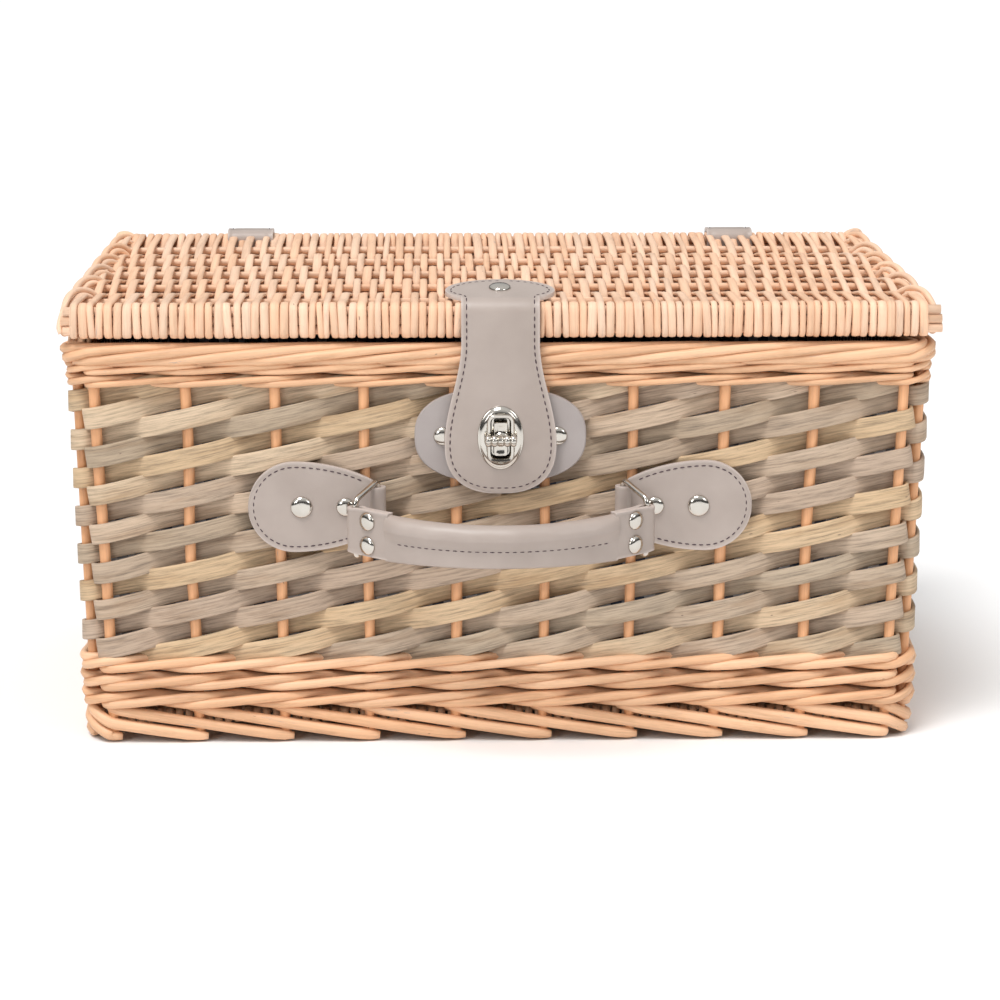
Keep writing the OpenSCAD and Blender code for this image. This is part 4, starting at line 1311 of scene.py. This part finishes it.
class HAMPER_OT_handle(bpy.types.Operator):
    """Fold the handle's end tabs round the rings and sew the padded grip"""

    bl_idname = "hamper.handle"
    bl_label = "Handle"

    def execute(self, context):
        sizes = leather_sizes()
        thick = sizes.thick
        line = HandleLine()
        parts = []
        roll = LOOP_R - thick / 2
        tab = line.radius * (line.end - line.grip_end) + 1.5
        tall = 11.25
        loop_len = roll * math.pi
        for side in (-1, 1):

            def lay(l, x, h, side=side):
                """From the back layer, round the ring's bar, to the front layer."""
                back = np.clip(l, 0, tab)
                front = np.clip(l - tab - loop_len, 0, tab)
                turn = np.clip((l - tab) / roll, 0, math.pi)
                slide = np.where(l < tab, tab - back, front)
                a = side * (line.end - slide / line.radius)
                squeeze = np.clip(slide / 7, 0, 1)
                gap = roll * (1 - squeeze) + (thick / 2 + 0.1) * squeeze
                mid = np.where(l < tab, -gap, np.where(l > tab + loop_len, gap, -roll * np.cos(turn)))
                off = mid + (h - thick / 2) * np.where(l < tab, -1, np.where(l > tab + loop_len, 1, -np.cos(turn)))
                beyond = np.where((l >= tab) & (l <= tab + loop_len), np.sin(turn), 0) * (roll + h - thick / 2)
                base = line.at(a, off, x)
                ahead = line.at(a + side * 0.01, off, x) - line.at(a, off, x)
                return base + unit(ahead) * beyond[..., None]

            total = 2 * tab + loop_len

            def half(l):
                edge = min(abs(l - tab), abs(l - tab - loop_len), 0 if tab < l < tab + loop_len else 9e9)
                near_loop = max(0.0, 1 - edge / 3)
                return tall - 0.45 * near_loop

            rows = np.concatenate([np.linspace(0, tab, 20), tab + np.linspace(0.06, 0.94, 14) * loop_len,
                                   np.linspace(tab + loop_len, total, 20)])
            parts.append(leather_strip("tab", lay, rows, half, thick, None, 0.4))
        mesh = joined("handle_tabs", parts)
        for face in mesh.polygons:
            face.use_smooth = True
        publish("handle_tabs", mesh, "handle", "grey_leather", "leather", "handle_strap")

        roll_r, split = 5.75, 0.35  # the roll's radius, and the sine of the turn where the flange leaves it

        def section(a, turn):
            """Outward and upward places round the grip: a padded roll on top of a stitched flange."""
            t = abs(a) / line.grip_end
            flare = np.clip((t - 0.8) / 0.2, 0, 1) ** 2
            top = (sizes.grip_mid + (sizes.grip_end - sizes.grip_mid) * t**2) / 2
            roll_w = 2 * roll_r * (1 - 0.4 * flare) * (1 + 0.04 * math.sin(a * 31) * (1 - flare))
            c, s = np.cos(turn), np.sin(turn)
            lower = np.clip((-s - split) / (1 - split), 0, 1)
            roll_mid = top - roll_r
            low_start = roll_mid - roll_r * split
            up = np.where(lower > 0, low_start - (top + low_start) * lower**0.8, roll_mid + roll_r * s)
            waist = roll_w / 2 * math.sqrt(1 - split**2)
            flange = waist + (2.3 - waist) * np.clip(lower / 0.22, 0, 1) ** 0.6
            flange = flange * np.clip((1.0 - lower) / 0.08, 0.4, 1) ** 0.5
            off = np.sign(c) * np.where(lower > 0, flange, roll_w / 2 * np.abs(c))
            return off, up - 0.3 - 1.0 * math.cos(a * 1.4)

        rings, count = [], 40
        turn = np.arange(count) * 2 * math.pi / count
        for a in np.linspace(-line.grip_end, line.grip_end, 96):
            rings.append(line.at(np.full(count, a), *section(a, turn)))
        grip = loft("handle_grip", rings)
        piece = publish("handle_grip", grip, "handle", "grey_leather", "leather", "handle_grip")

        def on_grip(l, x, h):
            return line.at(l / line.radius, 2.35 + h, x)

        seam_turn = -math.asin(split + (1 - split) * 0.26)
        angles = np.linspace(-line.grip_end, line.grip_end, 60)[3:-3]
        seam = np.array([(a * line.radius, section(a, np.array([seam_turn]))[1][0]) for a in angles])
        mesh = stitched("handle_stitches", [sewn(on_grip, [seam], 0.1)])
        publish("handle_stitches", mesh, "handle", "grey_leather", "thread")
        return {"FINISHED"}


class HAMPER_OT_hinge_straps(bpy.types.Operator):
    """Bend the two hinge straps from the rear wall over the lid's rear edge and through the lid"""

    bl_idname = "hamper.hinge_straps"
    bl_label = "Hinge straps"

    def execute(self, context):
        thick = leather_sizes().thick
        for name in ("left_hinge_strap", "right_hinge_strap"):
            low, high = box(name)
            middle, half_w = (low[0] + high[0]) / 2, (high[0] - low[0]) / 2
            lid_low, lid_top = box("lid_weave")[:, 2]
            wall = Wall()
            rear = high[1] - thick
            kink = box("upper_waling")[0][2] - 4
            tail_y = low[1] + thick
            lie = high[2] - thick
            bend = 5.2
            inner = [(wall.face(low[2]) + 0.25, low[2]), (wall.face(kink) + 0.25, kink),
                     (rear, box("rim_border")[0][2] + 1), (rear, lid_top - 5)]
            inner += [(rear - bend + bend * math.cos(a), lie - bend + bend * math.sin(a))
                      for a in np.radians([15, 30, 45, 60, 75, 90])]
            inner += [(tail_y + 3, lie)]
            inner += [(tail_y + 3 - 3 * math.sin(a), lie - 3 + 3 * math.cos(a)) for a in np.radians([30, 60, 90])]
            inner += [(tail_y, lid_top - 8)]
            inner = np.array(inner)
            step = np.linalg.norm(np.diff(inner, axis=0), axis=1)
            s = np.insert(np.cumsum(step), 0, 0)
            normals = unit(np.gradient(inner, axis=0))
            normals = np.stack([normals[:, 1], -normals[:, 0]], 1)

            def lay(l, x, h):
                y, z, ny, nz = (np.interp(l, s, a) for a in (*inner.T, *normals.T))
                return np.stack([middle + x, y + ny * h, z + nz * h], -1)

            def half(l):
                return half_w - max(0.0, 3 - l) ** 2 * 0.4

            rows = np.concatenate([[0, 0.6, 1.4, 3], np.linspace(5, s[-1], 60)])
            mesh = leather_strip(name, lay, rows, half, thick)
            piece = publish(name, mesh, None, "grey_leather", "leather", name)
            ends = ((0, rear * MM, (lid_low - 8) * MM), (0, rear * MM, (lid_low + 6) * MM))
            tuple(ends[0])
            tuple(ends[1])
            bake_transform(piece)
            seams = both_sides(rows, half, 2, s[-1] - 12)
            threads = stitches_of(name, lay, seams, None)
            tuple(ends[0])
            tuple(ends[1])
            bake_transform(threads)
        return {"FINISHED"}


# ---------------------------------------------------------------- metal


def cap(place, d, height=1.9):
    """A domed rivet cap: place(x, y, out) lays it on its leather."""
    r = d / 2
    profile = [(r * 0.94, -0.1), (r, 0.1), (r, 0.4), (r * 0.93, height * 0.52), (r * 0.75, height * 0.8),
               (r * 0.45, height * 0.97), (r * 0.12, height)]
    return loft("cap", [place(*circle(a, 28).T, b) for a, b in profile], flat_caps=False)


class HAMPER_OT_rivets(bpy.types.Operator):
    """Press the domed rivets and their washers"""

    bl_idname = "hamper.rivets"
    bl_label = "Rivets"

    def execute(self, context):
        thick = leather_sizes().thick
        wall, line = Wall(), HandleLine()
        lock = box("lock_pad_rivets")
        lock_z = (lock[0][2] + lock[1][2]) / 2
        spot = Fitting(wall, lock_z)
        lock_x = lock[1][0] - SMALL_RIVET / 2

        def on(fitting, x):
            return lambda a, b, out: fitting.at(x + a, b, thick + out)

        caps = [cap(on(spot, side * lock_x), SMALL_RIVET) for side in (-1, 1)]
        metal_piece("lock_pad_rivets", joined("lock_pad_rivets", caps), "basket")
        pads = box("handle_pad_rivets")
        spot = Fitting(wall, (pads[0][2] + pads[1][2]) / 2)
        outer = pads[1][0] - LARGE_RIVET / 2
        pair = ((0, LARGE_RIVET), (21, SMALL_RIVET))  # distance inwards and diameter
        caps = [cap(on(spot, side * (outer - shift)), d) for side in (-1, 1) for shift, d in pair]
        metal_piece("handle_pad_rivets", joined("handle_pad_rivets", caps), "basket")
        mid = (line.end + line.grip_end) / 2
        caps = []
        for side in (-1, 1):
            for up in (-5.8, 5.8):
                for face in (1, -1):

                    def place(a, b, out, side=side, up=up, face=face):
                        return line.at(side * mid + a / line.radius, face * (thick + 0.1 + out), b + up)

                    caps.append(cap(place, SMALL_RIVET, 1.9) if face > 0 else cap(place, 7, 1.0))
        metal_piece("handle_tab_rivets", joined("handle_tab_rivets", caps), "handle")
        head = box("strap_head_rivet")
        y = (head[0][1] + head[1][1]) / 2
        z = box("closure_strap_head")[1][2]

        def on_lid(a, b, out):
            return np.stack([a, y + b - HEAD_SLOPE * out, z + out + head_rise(y + b)], -1)

        metal_piece("strap_head_rivet", cap(on_lid, LARGE_RIVET), "lid")
        hinge = box("hinge_strap_rivets")
        z = (hinge[0][2] + hinge[1][2]) / 2
        rear = Fitting(wall, z)
        x = hinge[1][0] - SMALL_RIVET / 2
        caps = []
        for side in (-1, 1):

            def behind(a, b, out, side=side):
                return rear.at(side * x + a, b, thick + out) * [-1, -1, 1]

            caps.append(cap(behind, SMALL_RIVET))
        metal_piece("hinge_strap_rivets", joined("hinge_strap_rivets", caps), "basket")
        for node in ("rivet_burrs", "eye_back_plate", "key_pin"):
            dress(node, "nickel")
        return {"FINISHED"}


class HAMPER_OT_rings(bpy.types.Operator):
    """Bend the wire rings between the pads and the handle"""

    bl_idname = "hamper.rings"
    bl_label = "Rings"

    def execute(self, context):
        line = HandleLine()
        wire, half = 1.4, 13.9  # radius of the wire and half the ring's height
        for side, name in ((-1, "left_ring"), (1, "right_ring")):
            corners = [(line.loop_x, RING_OUT, -half), (line.loop_x, RING_OUT, half),
                       (line.tab_x, line.tab_out, half - line.drop), (line.tab_x, line.tab_out, -half - line.drop)]
            corners = np.array(corners)
            path, bend = [], 3.0
            for i in range(4):
                before, here, after = corners[i - 1], corners[i], corners[(i + 1) % 4]
                a, b = here + unit(before - here) * bend, here + unit(after - here) * bend
                for t in np.linspace(0, 1, 7):
                    path.append((1 - t) ** 2 * a + 2 * t * (1 - t) * here + t * t * b)
            path.append(path[0])
            path = np.array(path)
            fine = respaced(path, 72, 3.0)
            place = line.spot.at(side * fine[:, 0], fine[:, 2], fine[:, 1])
            centre = place[:-1].mean(0)
            run = (place, place - centre, wire, wire, 2.0, 0.5)
            metal_piece(name, lay_rods(name, [run], 14), "handle")
        return {"FINISHED"}


class HAMPER_OT_lock(bpy.types.Operator):
    """Press the eye plate and make the lock tower and its beaded turn key"""

    bl_idname = "hamper.lock"
    bl_label = "Turn lock"

    def execute(self, context):
        eye, base = box("eye_plate"), box("lock_base")
        z = (eye[0][2] + eye[1][2]) / 2
        back = -eye[1][1]

        def plate(outline, out):
            return np.stack([outline[:, 0], np.full(len(outline), -back - out), z + outline[:, 1]], -1)

        n = 72
        # Width, height and distance from the strap of the pressed oval's rings, outer edge first
        ovals = ((21.6, 30.4, 0), (22, 30.8, 0.4), (21.5, 30.3, 0.8), (20.4, 29.2, 0.95), (19.6, 28.4, 1.5),
                 (18, 26.8, 2.0), (15.6, 24.6, 2.2))
        # The same, with a corner radius, of the frame round its slot
        frames = ((13.2, 23.2, 3.2, 1.8), (12.8, 22.8, 3.2, 2.6), (12.0, 22.0, 3.0, 3.0), (9.9, 20.0, 2.4, 2.85),
                  (9.2, 19.4, 2.2, 2.3), (8.6, 18.8, 1.8, 0.15))
        rings = [plate(oval(w, h, n), out) for w, h, out in ovals]
        rings += [plate(soft_rectangle(w, h, r, n), out) for w, h, r, out in frames]
        metal_piece("eye_plate", loft("eye_plate", rings, closed=True), "strap")
        wall = Wall()
        spot = Fitting(wall, (base[0][2] + base[1][2]) / 2)
        thick = leather_sizes().thick
        tower_out = (-base[0][1] + spot.y) / math.cos(spot.tilt) - 0.25
        flange = [spot.at(*oval(21.5, 31, 48).T, out) for out in (thick, thick + 0.9)]
        flange.append(spot.at(*oval(20, 29.5, 48).T, thick + 1.0))
        # A flat-topped tower with a hollow either side of the key: width, height, corner and distance out
        tower = [spot.at(*soft_rectangle(w, h, r, 48).T, out) for w, h, r, out in (
            (6.8, 16.6, 1.0, thick), (6.8, 16.6, 1.0, tower_out - 0.7), (6.2, 16, 0.8, tower_out - 0.1),
            (5.4, 15.2, 0.7, tower_out), (4.0, 12.6, 0.5, tower_out - 0.5), (2.4, 10, 0.4, tower_out - 0.6))]
        parts = [loft("flange", flange), loft("tower", tower)]
        metal_piece("lock_base", joined("lock_base", parts), "basket")
        key = box("turn_key")
        half_len = (key[1][0] - key[0][0]) / 2
        bar_out = tower_out + 0.3 + 3.0
        rings = []
        for t in np.linspace(-1, 1, 81):
            # Five beads, with rounded ends and a plain collar in the middle
            bead = abs(math.cos(math.radians(90) * 5 * t))
            radius = 2.9 - 0.75 * (1 - bead) ** 1.5
            if abs(t) > 0.94:
                radius *= math.sqrt(max(1 - ((abs(t) - 0.94) / 0.065) ** 2, 0.05))
            if abs(t) < 0.1:
                radius = 2.75 + 0.12 * math.cos(t * 190)
            c, s = circle(radius, 24).T
            rings.append(spot.at(np.full(24, half_len * t), c, bar_out + s))
        hub = [spot.at(*circle(r, 32).T, out) for r, out in (
            (3.5, tower_out + 0.3), (3.5, tower_out + 1.1), (2.9, tower_out + 1.5), (2.4, tower_out + 2.6),
            (2.4, bar_out))]
        parts = [loft("bar", rings), loft("hub", hub)]
        metal_piece("turn_key", joined("turn_key", parts), "key")
        return {"FINISHED"}


# ---------------------------------------------------------------- stage


class HAMPER_OT_stage(bpy.types.Operator):
    """Lay the pale floor, light it softly and set up the camera"""

    bl_idname = "hamper.stage"
    bl_label = "Stage"

    def execute(self, context):
        bm = bmesh.new()
        bmesh.ops.create_grid(bm, x_segments=1, y_segments=1, size=24)
        mesh = to_mesh(bm, "floor")
        floor = bpy.data.objects.new("floor", mesh)
        context.scene.collection.objects.link(floor)
        material, tree = blank("pale floor")
        finish_surface(tree, (0.93, 0.93, 0.93, 1), 0.8)
        mesh.materials.append(material)
        world = bpy.data.worlds.new("studio")
        world.use_nodes = True
        tree = world.node_tree
        rise = add(tree, "SeparateXYZ", {0: add(tree, "TexCoord").outputs["Generated"]}).outputs[2]
        # Dim at the horizon and bright overhead, so that the metal shows both
        glow = ramp(tree, rise, [(0.0, grey(0.07)), (0.22, grey(0.1)), (0.45, grey(0.62)), (1.0, grey(0.8))])
        tree.links.new(glow, tree.nodes["Background"].inputs["Color"])
        context.scene.world = world
        context.scene.view_settings.view_transform = "Standard"
        # A broad soft sun from the upper left, and two small panels whose reflections lift the metal
        sun = bpy.data.lights.new("window", "SUN")
        sun.energy, sun.angle = 1.95, math.radians(24)
        lights = [(sun, (-0.5, -0.8, 1.9))]
        panels = (("left", (-1.1, -1.6, 0.8), 0.6, 6), ("right", (1.3, -1.3, 1.0), 0.6, 5))
        for name, place, size, power in panels:
            light = bpy.data.lights.new(name, "AREA")
            light.size, light.energy = size, power
            lights.append((light, place))
        for light, place in lights:
            lamp = bpy.data.objects.new(light.name, light)
            lamp.location = place
            lamp.rotation_euler = (Vector((0, 0, 0.1)) - Vector(place)).to_track_quat("-Z", "Y").to_euler()
            context.scene.collection.objects.link(lamp)
        lens = bpy.data.cameras.new("camera")
        lens.sensor_width, lens.lens = 36, 110
        camera = bpy.data.objects.new("camera", lens)
        camera.location = (-0.0306, -1.5664, 0.4234)
        camera.rotation_euler = (math.radians(90 - 11.93), 0, math.radians(-1.22))
        context.scene.collection.objects.link(camera)
        context.scene.camera = camera
        return {"FINISHED"}


class HAMPER_PT_panel(bpy.types.Panel):
    """The hamper's pieces and their sizes"""

    bl_idname = "HAMPER_PT_panel"
    bl_label = "Willow hamper"
    bl_space_type = "VIEW_3D"
    bl_region_type = "UI"
    bl_category = "Hamper"

    def draw(self, context):
        for group in (context.scene.hamper_weave, context.scene.hamper_leather, context.scene.hamper_colours):
            column = self.layout.column()
            for key in group.__annotations__:
                column.prop(group, key)
        for piece in PIECES:
            self.layout.operator(piece.bl_idname)


PIECES = (
    HAMPER_OT_stage, HAMPER_OT_stakes, HAMPER_OT_splints, HAMPER_OT_walings, HAMPER_OT_rim_border,
    HAMPER_OT_foot_border, HAMPER_OT_base, HAMPER_OT_lid_weave, HAMPER_OT_lid_sticks, HAMPER_OT_linings,
    HAMPER_OT_closure_strap, HAMPER_OT_lock_pad, HAMPER_OT_handle_pads, HAMPER_OT_handle,
    HAMPER_OT_hinge_straps, HAMPER_OT_rivets, HAMPER_OT_rings, HAMPER_OT_lock,
)
GROUPS = (WeaveSizes, LeatherSizes, Colours)


def register():
    for item in (*GROUPS, *PIECES, HAMPER_PT_panel):
        bpy.utils.register_class(item)
    bpy.types.Scene.hamper_weave = bpy.props.PointerProperty(type=WeaveSizes)
    bpy.types.Scene.hamper_leather = bpy.props.PointerProperty(type=LeatherSizes)
    bpy.types.Scene.hamper_colours = bpy.props.PointerProperty(type=Colours)


def unregister():
    del bpy.types.Scene.hamper_weave, bpy.types.Scene.hamper_leather, bpy.types.Scene.hamper_colours
    for item in (HAMPER_PT_panel, *reversed(PIECES), *reversed(GROUPS)):
        bpy.utils.unregister_class(item)


def main():
    """Make the hamper piece by piece."""
    register()
    MATERIALS.update(make_materials())
    for piece in PIECES:
        group, name = piece.bl_idname.split(".")
        getattr(getattr(bpy.ops, group), name)()


if __name__ == "__main__":
    main()
